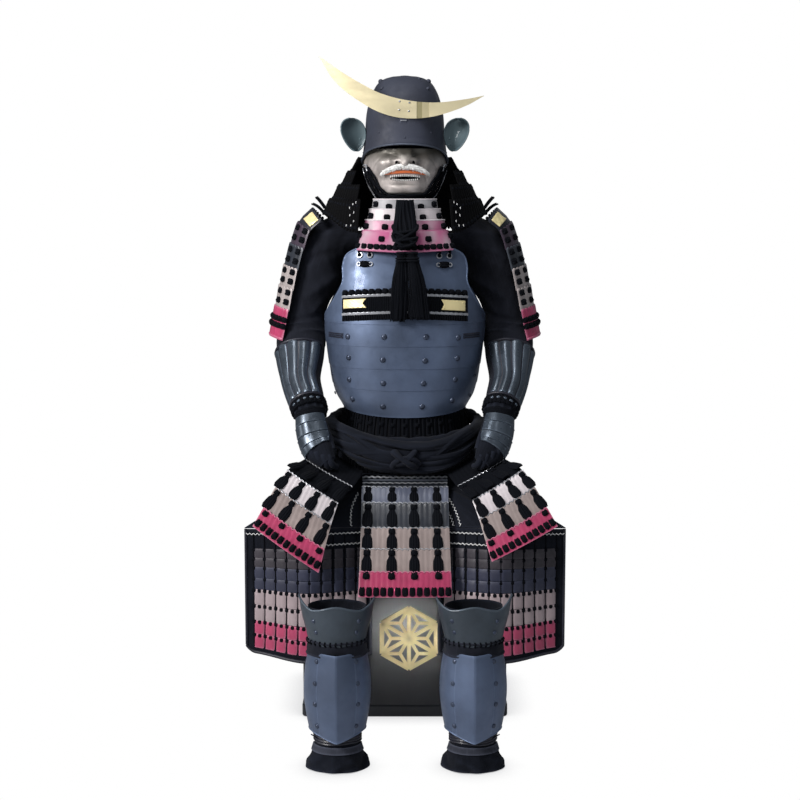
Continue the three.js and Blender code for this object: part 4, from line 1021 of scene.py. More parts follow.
def ear_surface(u, v):
    width = EAR["half"] * np.sqrt(np.maximum(4 * v * (1 - v), 0) + 0.02) * (1.08 - 0.42 * v)
    x = EAR["x"] - EAR["lean"] * v + width * u
    y = EAR["y"] + EAR["dish"] * (1 - u * u) - EAR["sweep"] * u
    return place(x, y, mix(EAR["top"], EAR["bottom"], v))


def make_ear(name, side):
    """A leaf-shaped plate that turns back at the helmet's side, with a rolled rim and two bolts."""
    leaf = shell(ear_surface, np.linspace(-1, 1, 25), np.linspace(0.004, 0.996, 33), 0, PLATE)
    rim_u = np.repeat([-1.0, 1.0], 30)
    rim_v = np.concatenate([np.linspace(0.996, 0.004, 30), np.linspace(0.004, 0.996, 30)])
    rim = laid(ear_surface, rim_u, rim_v, PLATE / 2, 1.9)
    bolts = stamp(stud(2.6), frames(ear_surface, np.array([-0.55, -0.5]), np.array([0.62, 0.8]), PLATE))
    make_piece(name, [leaf, rim, bolts], ["ear_iron"], side)


NECK_MIDDLE = -15
NECK_SCALE_PITCH, NECK_KNOT_PITCH = 9, 11.5
NECK_GUARD = table(
    "top bottom half0 half1 front0 front1 back0 back1 open dip tail",
    (1376, 1338, 112, 134, 108, 120, 124, 138, 80, 0, 0),
    (1343, 1305, 138, 157, 123, 131, 141, 155, 62, 0, 0),
    (1310, 1270, 161, 180, 134, 141, 158, 172, 48, 8, 4),
    (1275, 1234, 184, 203, 144, 150, 175, 192, 43, 40, 40))


def neck_surface(i):
    row = row_of(NECK_GUARD, i)

    def surface(angle, v):
        forward = soft((np.cos(angle) - math.cos(math.radians(78))) / 0.5)
        behind = soft((-np.cos(angle) - 0.1) / 0.6)
        z = mix(row["top"], row["bottom"] - row["dip"] * forward - row["tail"] * behind, v)
        half, front, back = (mix(row[f"{name}0"], row[f"{name}1"], v) for name in ("half", "front", "back"))
        return hoop(half, front, back, 2, NECK_MIDDLE, angle, z)

    return surface


def make_neck_guard():
    """Four close-laced lames that widen downward, with rows of knots near their upper and lower edges."""
    for i in range(4):
        surface = neck_surface(i)
        span = (math.radians(NECK_GUARD["open"][i]), math.radians(360 - NECK_GUARD["open"][i]))
        round_it = (NECK_GUARD["half1"][i] + NECK_GUARD["back1"][i]) / 2 * (span[1] - span[0])
        scales = int(round_it / NECK_SCALE_PITCH)
        parts = [lame(surface, span, 0.0, 1.0, scales, scallop=0.09, ridge=1.5, out=(PLATE + 0.6, PLATE),
                      foot_scallop=0.12)]
        u = np.linspace(span[0] + 0.03, span[1] - 0.03, int(round_it / NECK_KNOT_PITCH))
        for level, size in ((0.2, 0.62), (0.86, 0.72)):
            parts.append(stamp(PAD, frames(surface, u, level, PLATE + 0.9), 1, size))
        for angle in span:
            parts.append(laid(surface, angle, np.linspace(0, 1, 12), PLATE / 2, 2.0))
        if i == 3:
            for turn in (span[0], span[1]):
                inward = 1 if turn < math.pi else -1
                u = turn + inward * np.array([0.05, 0.10, 0.15, 0.07, 0.13, 0.06, 0.10, 0.17])
                v = np.array([0.10, 0.16, 0.28, 0.40, 0.50, 0.66, 0.80, 0.84])
                flecks = sized(dome(1, 0.8, 8, 2), (1.2, 3.0, 1))
                parts.append(stamp(flecks, frames(surface, u, v, PLATE + 2.6), 2))
        # The lacing takes a darker copy of the black lacing, as painted shade.
        make_piece(f"neck_lame_{i + 1}", parts, ["deep_shade_black", "black_cord", "thread"])


# ------------------------------------------------------------------ face mask
MASK_MIDDLE, MASK_TOP, MASK_BOTTOM = -20, 1396, 1291
MASK_SPREAD = math.radians(82)
MASK = table(
    "z half front",
    (1266, 68, 96), (1290, 80, 107), (1306, 88, 111), (1325, 95, 114), (1345, 100, 115), (1370, 99, 111),
    (1398, 94, 101))
MOUTH = {"z": 1326, "half": 36, "high": 8}
NOSE = {"z": 1360, "proud": 16, "half": 19}
MOUSTACHE = {"z": 1354.5, "half": 62, "droop": 20}


def mask_surface(angle, v):
    z = mix(MASK_TOP, MASK_BOTTOM, v)
    front = read(MASK, "z", "front", z)
    spot = hoop(read(MASK, "z", "half", z), front, front, 2, MASK_MIDDLE, angle, z)
    above, below = mix(1, 0.35, soft((z - NOSE["z"]) / 36)), 1 - soft((NOSE["z"] - z) / 12)
    bridge = np.where(z > NOSE["z"], above, below)
    spot[..., 1] -= NOSE["proud"] * bridge * np.exp(-((spot[..., 0] / NOSE["half"]) ** 2))
    return spot


# Modelling of the face over the plain shell: hills and hollows at x (both sides) and z, in millimetres.
FACE_FORMS = table(
    "x z wide high deep",
    (24, 1365, 9, 8, 5.0), (0, 1359, 11, 7, 2.5), (56, 1362, 20, 14, 4.5), (38, 1348, 9, 16, -2.5),
    (64, 1330, 14, 15, -2.2), (0, 1300, 26, 9, 4.5), (0, 1310, 28, 4, -3.0), (42, 1322, 7, 12, -1.6),
    (13, 1382, 7, 14, 3.0), (36, 1385, 14, 8, -5.5), (76, 1350, 12, 26, 1.5), (14, 1360, 5.0, 4.2, -7.0),
    (52, 1304, 14, 12, 1.8))
# Creases of the face, each from an x and z to another, with its width and how far it stands out.
FACE_LINES = (
    (24, 1366, 47, 1336, 3.2, -2.4), (47, 1336, 52, 1316, 3.2, -1.8), (58, 1372, 78, 1346, 2.6, -1.3),
    (64, 1362, 82, 1334, 2.4, -1.1), (14, 1374, 30, 1380, 2.2, -1.6), (12, 1379, 26, 1388, 2.0, -1.4))


def face_relief(u, v):
    spot = mask_surface(u, v)
    x, z = np.abs(spot[..., 0]), spot[..., 2]
    total = np.zeros(x.shape)
    for k in range(len(FACE_FORMS["x"])):
        form = row_of(FACE_FORMS, k)
        off_x, off_z = (x - form["x"]) / form["wide"], (z - form["z"]) / form["high"]
        total += form["deep"] * np.exp(-(off_x ** 2) - off_z ** 2)
    total += creases(FACE_LINES, 1.0, 1.0)(x, z)
    return total


def make_mask():
    """A moulded iron face with an open mouth."""
    us = np.linspace(-MASK_SPREAD, MASK_SPREAD, 121)
    vs = np.linspace(0, 1, 76)

    def face(u, v):
        rim = np.isclose(v, vs[-1]) | np.isclose(np.abs(u), us[-1])
        return PLATE + face_relief(u, v) - 1.0 * rim

    def lining(u, v):
        return np.minimum(0, face_relief(u, v))

    wall = shell(mask_surface, us, vs, lining, face)
    mask = make_piece("face_mask", [wall], ["mask_iron"], smooth=60)
    angle = circle(32)
    x = MOUTH["half"] * np.cos(angle)
    z = MOUTH["z"] + MOUTH["high"] * np.sin(angle) * 0.9 - 0.0016 * x ** 2
    cut_out(mask, loft([place(x, y, z) for y in (-90, -170)]))
    make_face_details()


def cut_out(thing, knife):
    """Cuts a part's shape through an object."""
    mesh = bpy.data.meshes.new("knife")
    faces = [tuple(face) for group in knife["faces"] for face in group.tolist()]
    mesh.from_pydata([tuple(p) for p in knife["verts"] * MM], [], faces)
    tool = bpy.data.objects.new("knife", mesh)
    bpy.context.scene.collection.objects.link(tool)
    modifier = thing.modifiers.new("mouth", "BOOLEAN")
    modifier.object = tool
    modifier.operation = "DIFFERENCE"
    modifier.solver = "EXACT"
    bpy.context.view_layer.objects.active = thing
    with bpy.context.temp_override(object=thing, active_object=thing, selected_objects=[thing]):
        bpy.ops.object.modifier_apply(modifier=modifier.name)
    bpy.data.objects.remove(tool)


def mask_spots(x, z, out):
    """Frames on the mask at places across and up it."""
    z = np.asarray(z, float)
    x = np.asarray(x, float)
    half = read(MASK, "z", "half", z)
    front = read(MASK, "z", "front", z)
    angle = np.arctan2(x, front * np.sqrt(np.maximum(0.01, 1 - (x / half) ** 2)))
    v = (MASK_TOP - z) / (MASK_TOP - MASK_BOTTOM)
    relief = face_relief(angle, v)
    return frames(mask_surface, angle, v, out + relief)


def make_face_details():
    t = np.linspace(-1, 1, 31)
    lip_z = 1341.0 - 7.0 * t ** 2
    upper = mask_spots(50 * t, lip_z, PLATE + 2.4)[0]
    lips = [tube(upper, 5.0 * np.sqrt(np.clip(1.03 - t ** 2, 0.03, 1)) + 0.4, 10, 0.8)]
    make_piece("lips", lips, ["lips"], smooth=60)
    teeth = []
    for row, count, half, z, tall in (("upper", 15, 34, 1332.4, 3.4), ("lower", 14, 30, 1320.8, 2.2)):
        x = np.linspace(-half, half, count)
        level = z - 0.0026 * x ** 2 * (1 if row == "upper" else -1)
        tooth = sized(dome(1, 2.4, 8, 3, 3.0), (1.7, tall, 1))
        teeth.append(stamp(tooth, mask_spots(x, level, PLATE - 0.6)))
    gum = tube(mask_spots(30 * t, 1336.0 - 0.0018 * (30 * t) ** 2, -3.0)[0], 2.4, 8)
    make_piece("teeth", [*teeth, gum], ["teeth"])
    # Painted shade: a near-black sheet behind the mouth opening and two dark domes at the nostrils stand for
    # the shade inside them.
    dark = [place(40 * t, -128.0 + 0.006 * (40 * t) ** 2, z) for z in (1338, 1330, 1320, 1310, 1302)]
    front = np.stack(dark)
    nostril = sized(dome(1, 1.4, 12, 3), (5.0, 4.4, 1))
    nostrils = stamp(nostril, mask_spots(np.array([-18.5, 18.5]), 1363.0, PLATE + 0.4))
    lining = shell_points(front, front + np.array([0, 1.2, 0]))
    make_piece("mouth_and_nostril_shade", [lining, nostrils], ["deep_shade_black"])
    make_moustache()
    hooks = []
    for side in (-1, 1):
        x = np.array([95.0, 89, 87, 86])
        z = np.array([1356.0, 1357, 1352, 1342])
        points = mask_spots(x, z, PLATE + 4.5)[0] * np.array([side, 1, 1])
        hooks.append(tube(points, 2.3, 8))
    make_piece("jaw_hooks", hooks, ["silver"])
    rim = laid(mask_surface, np.linspace(-MASK_SPREAD, MASK_SPREAD, 81), 1.0, PLATE / 2, 2.4)
    make_piece("jaw_rim", [rim], ["mask_edge"])
    make_chin_cord()


def make_moustache():
    """A bar of white hair, thick in the middle, made of many short locks combed down and outward."""
    rng = np.random.default_rng(7)
    count = 900
    x = rng.uniform(-1, 1, count)
    ring = rng.uniform(0, FULL, count)
    swell = np.sqrt(np.clip(1 - x ** 8, 0.15, 1))
    rings = []
    for s in np.linspace(-1, 1, 25):
        size = math.sqrt(max(0.15, 1 - s ** 8))
        angle = circle(16)
        z = MOUSTACHE["z"] - MOUSTACHE["droop"] * s * s
        y = moustache_y(60 * s, z)
        rings.append(place(60 * s, y + 4.2 * size * np.cos(angle), z + 6.0 * size * np.sin(angle)))
    locks = []
    for k in range(count):
        s, a, size = x[k], ring[k], swell[k]
        z = MOUSTACHE["z"] - MOUSTACHE["droop"] * s * s + 5.2 * size * math.sin(a)
        y = moustache_y(60 * s, z) + 4.4 * size * math.cos(a)
        start = np.array([58 * s, y, z])
        outward = 0.9 * np.sign(s) * abs(s) ** 0.5
        way = np.array([rng.normal(outward, 0.25), rng.normal(-0.25, 0.2), rng.normal(-0.55, 0.3)])
        reach = rng.uniform(4, 7) * (0.6 + 0.4 * size)
        way = way / np.linalg.norm(way) * reach
        locks.append(tube([start, start + way * 0.5 + [0, -0.6, 0.3], start + way], [0.75, 0.6, 0.12], 4))
    make_piece("moustache", [loft(rings), joined(*locks)], ["hair"], smooth=60)


def moustache_y(x, z):
    half, front = read(MASK, "z", "half", z), read(MASK, "z", "front", z)
    face = MASK_MIDDLE - front * np.sqrt(np.maximum(0.05, 1 - (x / half) ** 2))
    return face - PLATE - 3 - 7.5 - 3 * (x / MOUSTACHE["half"]) ** 2


# The chin cord's upper and lower edges from the chin's middle to the side of the face.
CHIN_CORD = table(
    "at x0 z0 x1 z1",
    (0, 0, 1288, 0, 1269), (0.3, 30, 1287, 34, 1270), (0.42, 41, 1290, 50, 1273),
    (0.55, 51, 1300, 64, 1284), (0.72, 63, 1317, 79, 1308), (0.86, 74, 1335, 89, 1331),
    (1, 82, 1352, 95, 1350))
CHIN_CORD_OFF = 4.2


def chin_cord_line(t, across, out):
    """A line along the cord from the left side to the right. across is 0 at its upper edge and 1 below."""
    share = np.abs(t)
    x = mix(read(CHIN_CORD, "at", "x0", share), read(CHIN_CORD, "at", "x1", share), across) * np.sign(t)
    z = mix(read(CHIN_CORD, "at", "z0", share), read(CHIN_CORD, "at", "z1", share), across)
    return mask_spots(x, z, out)[0]


def make_chin_cord():
    """Cords side by side from the helmet's sides round under the chin, inside a thin silvered line."""
    t = np.linspace(-1, 1, 90)
    strands = []
    for across in (0.0, 0.25, 0.5, 0.75, 1.0):
        wobble = 0.06 * np.sin(17 * t + 9 * across)
        strands.append(tube(chin_cord_line(t, across + wobble, PLATE + CHIN_CORD_OFF), 3.1, 8, 0.8))
    make_piece("chin_cord", strands, ["black_cord"])
    outer = chin_cord_line(t, 1.22, PLATE + CHIN_CORD_OFF - 1.0)
    make_piece("jaw_line", [tube(outer, 1.7, 8)], ["silver"])


# ------------------------------------------------------------------ throat guard, knot and tassels
THROAT = table(
    "top bottom half0 half1 front0 front1 middle0 middle1 dip",
    (1275, 1247, 79, 84, 46, 48, -87, -86, 0), (1251, 1221, 90, 97, 48, 51, -92, -93, 0),
    (1225, 1196, 101, 106, 52, 55, -97, -99, 2), (1200, 1154, 110, 124, 54, 55, -106, -123, 6))


def throat_surface(i):
    row = row_of(THROAT, i)

    def surface(angle, v):
        z = mix(row["top"], row["bottom"] - row["dip"] * np.cos(angle), v)
        names = ("half", "front", "middle")
        half, front, middle = (mix(row[f"{name}0"], row[f"{name}1"], v) for name in names)
        return hoop(half, front, front, 2, middle, angle, z)

    return surface


# Knots on each side of a throat lame: how far out the inner and outer one sit, and how far down the lame.
THROAT_KNOTS = table("inner outer inner_at outer_at", (38, 69, 0.66, 0.45), (43, 81, 0.66, 0.56),
                     (48, 92, 0.56, 0.52), (56, 108, 0.42, 0.30))
THROAT_SPREAD = math.radians(80)
THROAT_LOOKS = ("grey_lace", "white_lace", "soft_pink", "soft_pink")


def throat_angle(i, x, v):
    """The angle at which a throat lame lies a given distance to the side."""
    half, front = (mix(THROAT[f"{name}0"][i], THROAT[f"{name}1"][i], v) for name in ("half", "front"))
    return np.arctan2(x, front * np.sqrt(np.maximum(0.01, 1 - (x / half) ** 2)))


def make_throat_guard():
    """Four curved lames under the mask, each with four knots, and a row of knots along the lowest."""
    for i in range(4):
        surface = throat_surface(i)
        us = edged(-THROAT_SPREAD, THROAT_SPREAD, 50, 0.02)
        plate = rounded_plate(surface, us, edged(0, 1, 12, 0.05), 0, PLATE, 1.2)
        along = np.linspace(-THROAT_SPREAD, THROAT_SPREAD, 60)
        edge = laid(surface, along, 0.02, PLATE * 0.6, 1.7, look=2)
        parts = [plate, edge]
        row = row_of(THROAT_KNOTS, i)
        level = np.array([row["outer_at"], row["inner_at"], row["inner_at"], row["outer_at"]])
        angle = throat_angle(i, np.array([-row["outer"], -row["inner"], row["inner"], row["outer"]]), level)
        parts.append(stamp(KNOT, frames(surface, angle, level, PLATE + 0.4), 1, 1.22))
        if i == 3:
            foot_at = 0.80
            foot_row = throat_angle(i, np.linspace(-113, 113, 16), foot_at)
            parts.append(stamp(KNOT, frames(surface, foot_row, foot_at, PLATE + 0.4), 1, 1.16))
            parts.append(laid(surface, along, 0.985, PLATE * 0.6, 2.2, look=2))
        looks = [THROAT_LOOKS[i], "black_cord", "white_lace" if i != 3 else "deep_pink"]
        make_piece(f"throat_lame_{i + 1}", parts, looks)


CHIN_KNOT = table(
    "at y z wide deep",
    (0, -151, 1274, 22, 8), (0.3, -160, 1238, 26, 10), (0.6, -179, 1202, 31, 14),
    (0.85, -194, 1172, 27, 12), (1, -198, 1157, 16, 9))


def knot_surface(angle, v):
    wide, deep = read(CHIN_KNOT, "at", "wide", v), read(CHIN_KNOT, "at", "deep", v)
    return place(wide * np.sin(angle), read(CHIN_KNOT, "at", "y", v) - deep * np.cos(angle),
                 read(CHIN_KNOT, "at", "z", v))


def make_chin_knot():
    """Silk cords gathered under the chin: strands running down into a knot of crossing turns."""
    strands = []
    for k in range(9):
        start = math.radians(-80 + 20 * k)
        v = np.linspace(0.0, 0.62, 24)
        angle = start * (1 - 0.25 * v) + 0.16 * np.sin(5 * v + k)
        strands.append(laid(knot_surface, angle, v, -4.5 + 3 * v, 3.6, 8, 0.9))
    rows = (
        (-1.5, 0.50, 1.4, 0.92, 7.0), (1.5, 0.50, -1.4, 0.92, 7.0), (-1.4, 0.66, 1.3, 0.58, 6.5),
        (-1.3, 0.80, 1.4, 0.74, 6.5), (-1.0, 0.93, 1.1, 0.88, 6.0), (-1.5, 0.70, 0.2, 0.95, 6.0),
        (1.5, 0.74, -0.1, 0.97, 6.0))
    for k, (u0, v0, u1, v1, size) in enumerate(rows):
        t = np.linspace(0, 1, 18)
        out = -3.0 + 4.0 * np.sin(math.pi * t) + 1.2 * (k % 2)
        line = lifted(knot_surface, mix(u0, u1, t), mix(v0, v1, t) + 0.02 * np.sin(math.pi * t), out)
        strands.append(tube(line, size * 0.78, 8, 0.75))
    core_v = np.linspace(0.02, 0.98, 14)
    rings = [lifted(knot_surface, circle(20), v, -4.0) for v in core_v]
    make_piece("chin_knot", [loft(rings), *strands], ["black_cord"], smooth=60)
    make_tassels()


TASSELS = table("top_x end_x end_z wide0 wide1", (-8, -17, 984, 10, 22), (15, 35, 988, 13, 28))
TASSEL_TOP = 1150
TASSEL_Y = (-206, -217)  # where a tassel starts and ends
TASSEL_CORDS = 110


def make_tassels():
    """Each tassel is a bound head with a skirt of fine cords that spreads as it falls."""
    rng = np.random.default_rng(11)
    for i, name in enumerate(("left", "right")):
        row = row_of(TASSELS, i)
        cords = []
        for k in range(TASSEL_CORDS):
            spin = rng.uniform(0, FULL)
            share = math.sqrt(rng.uniform(0.05, 1))
            t = np.linspace(0, rng.uniform(0.94, 1.0), 9)
            grow = soft(np.minimum(1, t * 1.9))
            wide, deep = mix(row["wide0"], row["wide1"], grow) * 0.9, mix(7, 10.5, grow) * 0.9
            x = mix(row["top_x"], row["end_x"], t) + share * wide * math.cos(spin)
            y = mix(*TASSEL_Y, t) + share * deep * math.sin(spin)
            x = x + 0.8 * np.sin(6 * t + k)
            cords.append(tube(place(x, y, mix(TASSEL_TOP, row["end_z"], t)), 1.6, 4))
        heads = []
        for level, size in ((0.02, 1.12), (0.10, 1.2), (0.135, 1.2)):
            x, y = mix(row["top_x"], row["end_x"], level), mix(*TASSEL_Y, level)
            angle = np.linspace(0, FULL, 25)
            ring = place(x + row["wide0"] * size * np.cos(angle), y + 7.4 * size * np.sin(angle),
                         mix(TASSEL_TOP + 2, row["end_z"], level))
            heads.append(tube(ring, 2.4, 8))
        make_piece(f"tassel_{name}", [joined(*cords), *heads], ["black_cord"])


# ------------------------------------------------------------------ cuirass
TORSO_MIDDLE, TORSO_POWER = -25, 2.4
TORSO = table(
    "z half front back reach",
    (748, 152, 165, 150, 152), (787, 172, 174, 158, 172), (869, 187, 178, 162, 187),
    (942, 197, 175, 165, 197), (985, 198, 170, 165, 198), (1030, 195, 161, 162, 173),
    (1074, 190, 152, 158, 151), (1115, 184, 138, 150, 150), (1142, 180, 128, 145, 139),
    (1160, 178, 122, 140, 108), (1186, 174, 112, 133, 84))
CUIRASS = {"top": 1160, "bottom": 748, "side_rise": 16, "side_gap": 0.012, "back_top": 1182}


def torso(z):
    return {name: read(TORSO, "z", name, z) for name in ("half", "front", "back", "reach")}


def torso_level(angle, z):
    share = soft((869 - z) / (869 - CUIRASS["bottom"]))
    return z + CUIRASS["side_rise"] * share * np.sin(angle) ** 2


def hoop_angle(half, front, x):
    share = np.minimum(1, x / half)
    return np.arctan2(x, front * np.maximum(0, 1 - share ** TORSO_POWER) ** (1 / TORSO_POWER))


def torso_hoop(size, angle, z):
    return hoop(size["half"], size["front"], size["back"], TORSO_POWER, TORSO_MIDDLE, angle, z)


def front_surface(u, v):
    z = mix(CUIRASS["top"], CUIRASS["bottom"], v)
    size = torso(z)
    open_at = hoop_angle(size["half"], size["front"], size["reach"])
    angle = np.minimum(math.pi / 2 - CUIRASS["side_gap"], open_at) * u
    return torso_hoop(size, angle, torso_level(angle, z))


def back_surface(u, v):
    z = mix(CUIRASS["back_top"], CUIRASS["bottom"], v)
    size = torso(z)
    reach = size["reach"] + (size["half"] - size["reach"]) * 0.3
    open_at = hoop_angle(size["half"], size["back"], reach)
    angle = math.pi + np.minimum(math.pi / 2 - CUIRASS["side_gap"], open_at) * u
    return torso_hoop(size, angle, torso_level(angle, z))


PLATE_SEAMS = (975, 922, 868, 815)  # lower edges of the riveted cross plates
FRONT_RIVETS = table(
    "x z", (-137, 944), (-50, 946), (50, 946), (128, 942), (-135, 893), (-53, 891), (48, 889), (126, 892),
    (-134, 839), (-52, 834), (44, 834), (121, 840), (-127, 791), (-53, 777), (41, 777), (114, 789))
SIDE_RIVETS = table("x z", (-178, 844), (-170, 797), (170, 842), (158, 795))


def plate_steps(z):
    """Cross plates overlap downward like clapboards: each stands a little proud at its lower edge."""
    total = np.zeros(np.shape(z))
    levels = (1000, *PLATE_SEAMS, 748)
    for top, bottom in zip(levels[:-1], levels[1:]):
        inside = (z <= top) & (z > bottom)
        total += inside * 1.1 * (top - z) / (top - bottom)
    return total


def torso_spots(x, z, out, back=False):
    """Frames on the torso at places across and up it."""
    x, z = np.asarray(x, float), np.asarray(z, float)
    size = torso(z)
    deep = size["back"] if back else size["front"]
    angle = np.sign(x) * hoop_angle(size["half"], deep, np.abs(x))
    if back:
        angle = math.pi - angle

    def surface(angle, depth):
        return torso_hoop(torso(-depth), angle, -depth)

    return frames(surface, angle, -z, out)


def make_cuirass():
    """A riveted breastplate and backplate with rolled edges at the neck and, in front, below the arms."""
    us = edged(-1, 1, 65, 0.006)
    seams = []
    for z in PLATE_SEAMS:
        seams += [z + 1.4, z + 0.2, z - 0.4]
    grid = sorted(set(np.round(np.concatenate([np.linspace(1159, 749, 62), seams]), 2)), reverse=True)
    vs = np.array([0, *[(CUIRASS["top"] - z) / (CUIRASS["top"] - CUIRASS["bottom"]) for z in grid], 1.0])

    def stepped(top):
        def outer(u, v):
            return PLATE + plate_steps(mix(top, CUIRASS["bottom"], v))

        return outer

    parts = [rounded_plate(front_surface, us, vs, 0, stepped(CUIRASS["top"]), 1.3)]
    t = np.linspace(-1, 1, 61)
    parts.append(laid(front_surface, t, 0.0, PLATE / 2, 3.0))
    for side in (-1, 1):
        parts.append(laid(front_surface, side, np.linspace(0, 0.42, 40), PLATE / 2, 2.6))
    for rows, radius in ((FRONT_RIVETS, 7.4), (SIDE_RIVETS, 4.4)):
        parts.append(stamp(stud(radius, radius * 0.56), torso_spots(rows["x"], rows["z"], PLATE + 0.6), 1))
    make_piece("cuirass_front", parts, ["blued_steel", "rivet_steel"])

    vs = np.linspace(0, 1, 70)
    parts = [rounded_plate(back_surface, us, vs, 0, stepped(CUIRASS["back_top"]), 1.3)]
    parts.append(laid(back_surface, t, 0.0, PLATE / 2, 3.0))
    x = np.array([-130, -45, 45, 130])
    for z in (944, 891, 837, 784):
        parts.append(stamp(stud(7.4, 4.1), torso_spots(x, z, PLATE + 0.6, back=True), 1))
    make_piece("cuirass_back", parts, ["blued_steel", "rivet_steel"])
    make_rings()
    make_side_straps()


def make_rings():
    """Two rings a side on the chest with an oval knot below them, and the cords that rise from them."""
    rings, cords = [], []
    for x0, x1, high, low in ((-108, -84, 1139, 1118), (82, 106, 1137, 1116)):
        middle = (x0 + x1) / 2
        for x in (x0, x1):
            rings.append(stamp(ring_template(6.2, 1.5), torso_spots([x], [high], PLATE + 1.0)))
            end = -14 if x == x0 else 14
            rings.append(stamp(ring_template(4.6, 1.4), torso_spots([middle + end], [low], PLATE + 1.0)))
            t = np.linspace(0, 1, 9)
            line = torso_spots(mix(x, x + 3 * np.sign(x0), t), mix(high - 2, 1159, t), PLATE + 3.2)[0]
            cords.append(tube(line, 3.4, 8, 0.8))
        oval = torso_spots([middle], [low], PLATE + 0.8)
        cords.append(stamp(sized(dome(1, 6.5, 18, 5, 2.2), (13.0, 8.5, 1)), oval))
        for shift in (-4, 0, 4):
            t = np.linspace(-1, 1, 9)
            line = torso_spots(middle + 11 * t, low + shift + 0 * t, PLATE + 1.0 + 6.2 * (1 - t ** 2))[0]
            cords.append(tube(line, 2.6, 8))
    make_piece("chest_rings", rings, ["silver"])
    make_piece("chest_ring_cords", cords, ["black_cord"])


def make_side_straps():
    """Three cords side by side across the edge of the breastplate below each arm."""
    straps = []
    for x0, x1 in ((-183, -148), (140, 180)):
        t = np.linspace(0, 1, 10)
        x = mix(x0, x1, t)
        points = torso_spots(x, 945.0, PLATE + 0.6)[0]
        for rise in (-4.5, 0, 4.5):
            straps.append(tube(points + np.array([0, 0, rise]), 2.8, 8, 0.6))
    make_piece("side_straps", straps, ["leather"])


CHEST_BAND = {"half": 150, "top": 1050, "bottom": 980, "bow": 8}


def band_surface(x, v):
    bow = CHEST_BAND["bow"] * (1 - (x / CHEST_BAND["half"]) ** 2)
    z = mix(CHEST_BAND["top"], CHEST_BAND["bottom"], v) + bow
    size = torso(z)
    return torso_hoop(size, np.sign(x) * hoop_angle(size["half"], size["front"], np.abs(x)), z)


def make_chest_band():
    """Laced lames across the chest: knots, a silvered scalloped edge, upright cords with gilt plates,
    a second silvered edge and a row of lacing below."""
    half, off = CHEST_BAND["half"], PLATE + 1.2
    span = (-half, half)
    base = shell(band_surface, edged(*span, 81, 2), edged(0, 1, 14, 0.03), off, off + 0.9)
    parts = [base]
    x = np.linspace(-half + 8, half - 8, 19)
    parts.append(stamp(KNOT, frames(band_surface, x, 0.03, off + 2.0), 1, 1.1))
    for level in (0.12, 0.72):
        parts.append(lame(band_surface, span, level, level + 0.10, 26, 2, scallop=0.03, ridge=0.6,
                          out=(off + 3.2, off + 1.6), rows=5))
    for low, high, pitch, size in ((0.21, 0.73, 4.6, 2.1), (0.81, 0.99, 5.6, 2.5)):
        for k in np.arange(-half + 4, half - 3, pitch):
            line = lifted(band_surface, k, np.linspace(low, high, 5), off + 1.9)
            parts.append(tube(line, size, 6, look=1))
    make_piece("chest_band", parts, ["black_lacing", "black_cord", "silver"])
    gilt = []
    plates = ((-145, -91, 0.27, 0.58, 9), (86, 142, 0.31, 0.66, 6), (-31, -25, 0.24, 0.51, 0))
    for x0, x1, low, high, notch in plates:
        gilt += gilt_plate(x0, x1, low, high, notch, off + 3.4)
    make_piece("chest_band_gilt", gilt, ["gold"])


def gilt_plate(x0, x1, low, high, notch, off):
    """A chased gilt plate. Its inner end is cut in by the notch, like a swallow's tail."""
    inner, outer = (x1, x0) if x1 < 0 else (x0, x1)

    def tailed(u, v):
        middle = 1 - np.abs(2 * (v - low) / (high - low) - 1)
        near = soft((u - outer) / (inner - outer))
        return band_surface(u + np.sign(outer) * notch * middle * near, v)

    def chased(u, v):
        return off + 1.6 + 0.5 * np.cos(u * 0.55) * np.cos((v - low) * 60)

    us, vs = edged(x0, x1, 24, 0.8), edged(low, high, 10, 0.012)
    made = [rounded_plate(tailed, us, vs, off, chased, 0.9)]
    if notch:
        pin_x, pin_v = np.array([x0 + 6, x1 - 6]), mix(low, high, np.array([0.8, 0.2]))
        made.append(stamp(stud(2.2), frames(band_surface, pin_x, pin_v, off + 1.6)))
    return made


STRAP = {"inner": 66, "outer": 98, "thick": 3}
STRAP_ROUTE = table("at y z", (0, -140, 1161.5), (0.2, -110, 1187), (0.4, -55, 1197), (0.55, 5, 1195),
                    (0.75, 60, 1198), (1, 98, 1184))


def strap_surface(u, v):
    return place(-mix(STRAP["inner"], STRAP["outer"], u), read(STRAP_ROUTE, "at", "y", v),
                 read(STRAP_ROUTE, "at", "z", v))


def make_shoulder_straps():
    """Quilted straps over the shoulders from the breastplate to the backplate, corded along both sides."""
    for name, side in (("left", 1), ("right", -1)):
        us, vs = edged(0, 1, 15, 0.04), edged(0, 1, 60, 0.01)
        quilt = rounded_plate(strap_surface, us, vs, 0,
                              lambda u, v: STRAP["thick"] + 0.5 * np.cos(16 * math.pi * v), 1.0)
        down = np.linspace(0.01, 0.99, 50)
        cords = [laid(strap_surface, u, down, STRAP["thick"], 1.3, 6, look=1) for u in (0.08, 0.92)]
        looks = ["black_cloth", "black_cord"]
        strap = make_piece(f"shoulder_strap_{name}", [quilt, *cords], looks, side)


LACING = {"top": 746.6, "bottom": 612, "half": 150, "front": 163, "back": 149, "flare": 24, "wall": 3}


def lacing_surface(angle, v):
    rise = CUIRASS["side_rise"] * np.sin(angle) ** 2 * (1 - v)
    size = {name: LACING[name] + LACING["flare"] * v for name in ("half", "front", "back")}
    return torso_hoop(size, angle, mix(LACING["top"], LACING["bottom"], v) + rise)


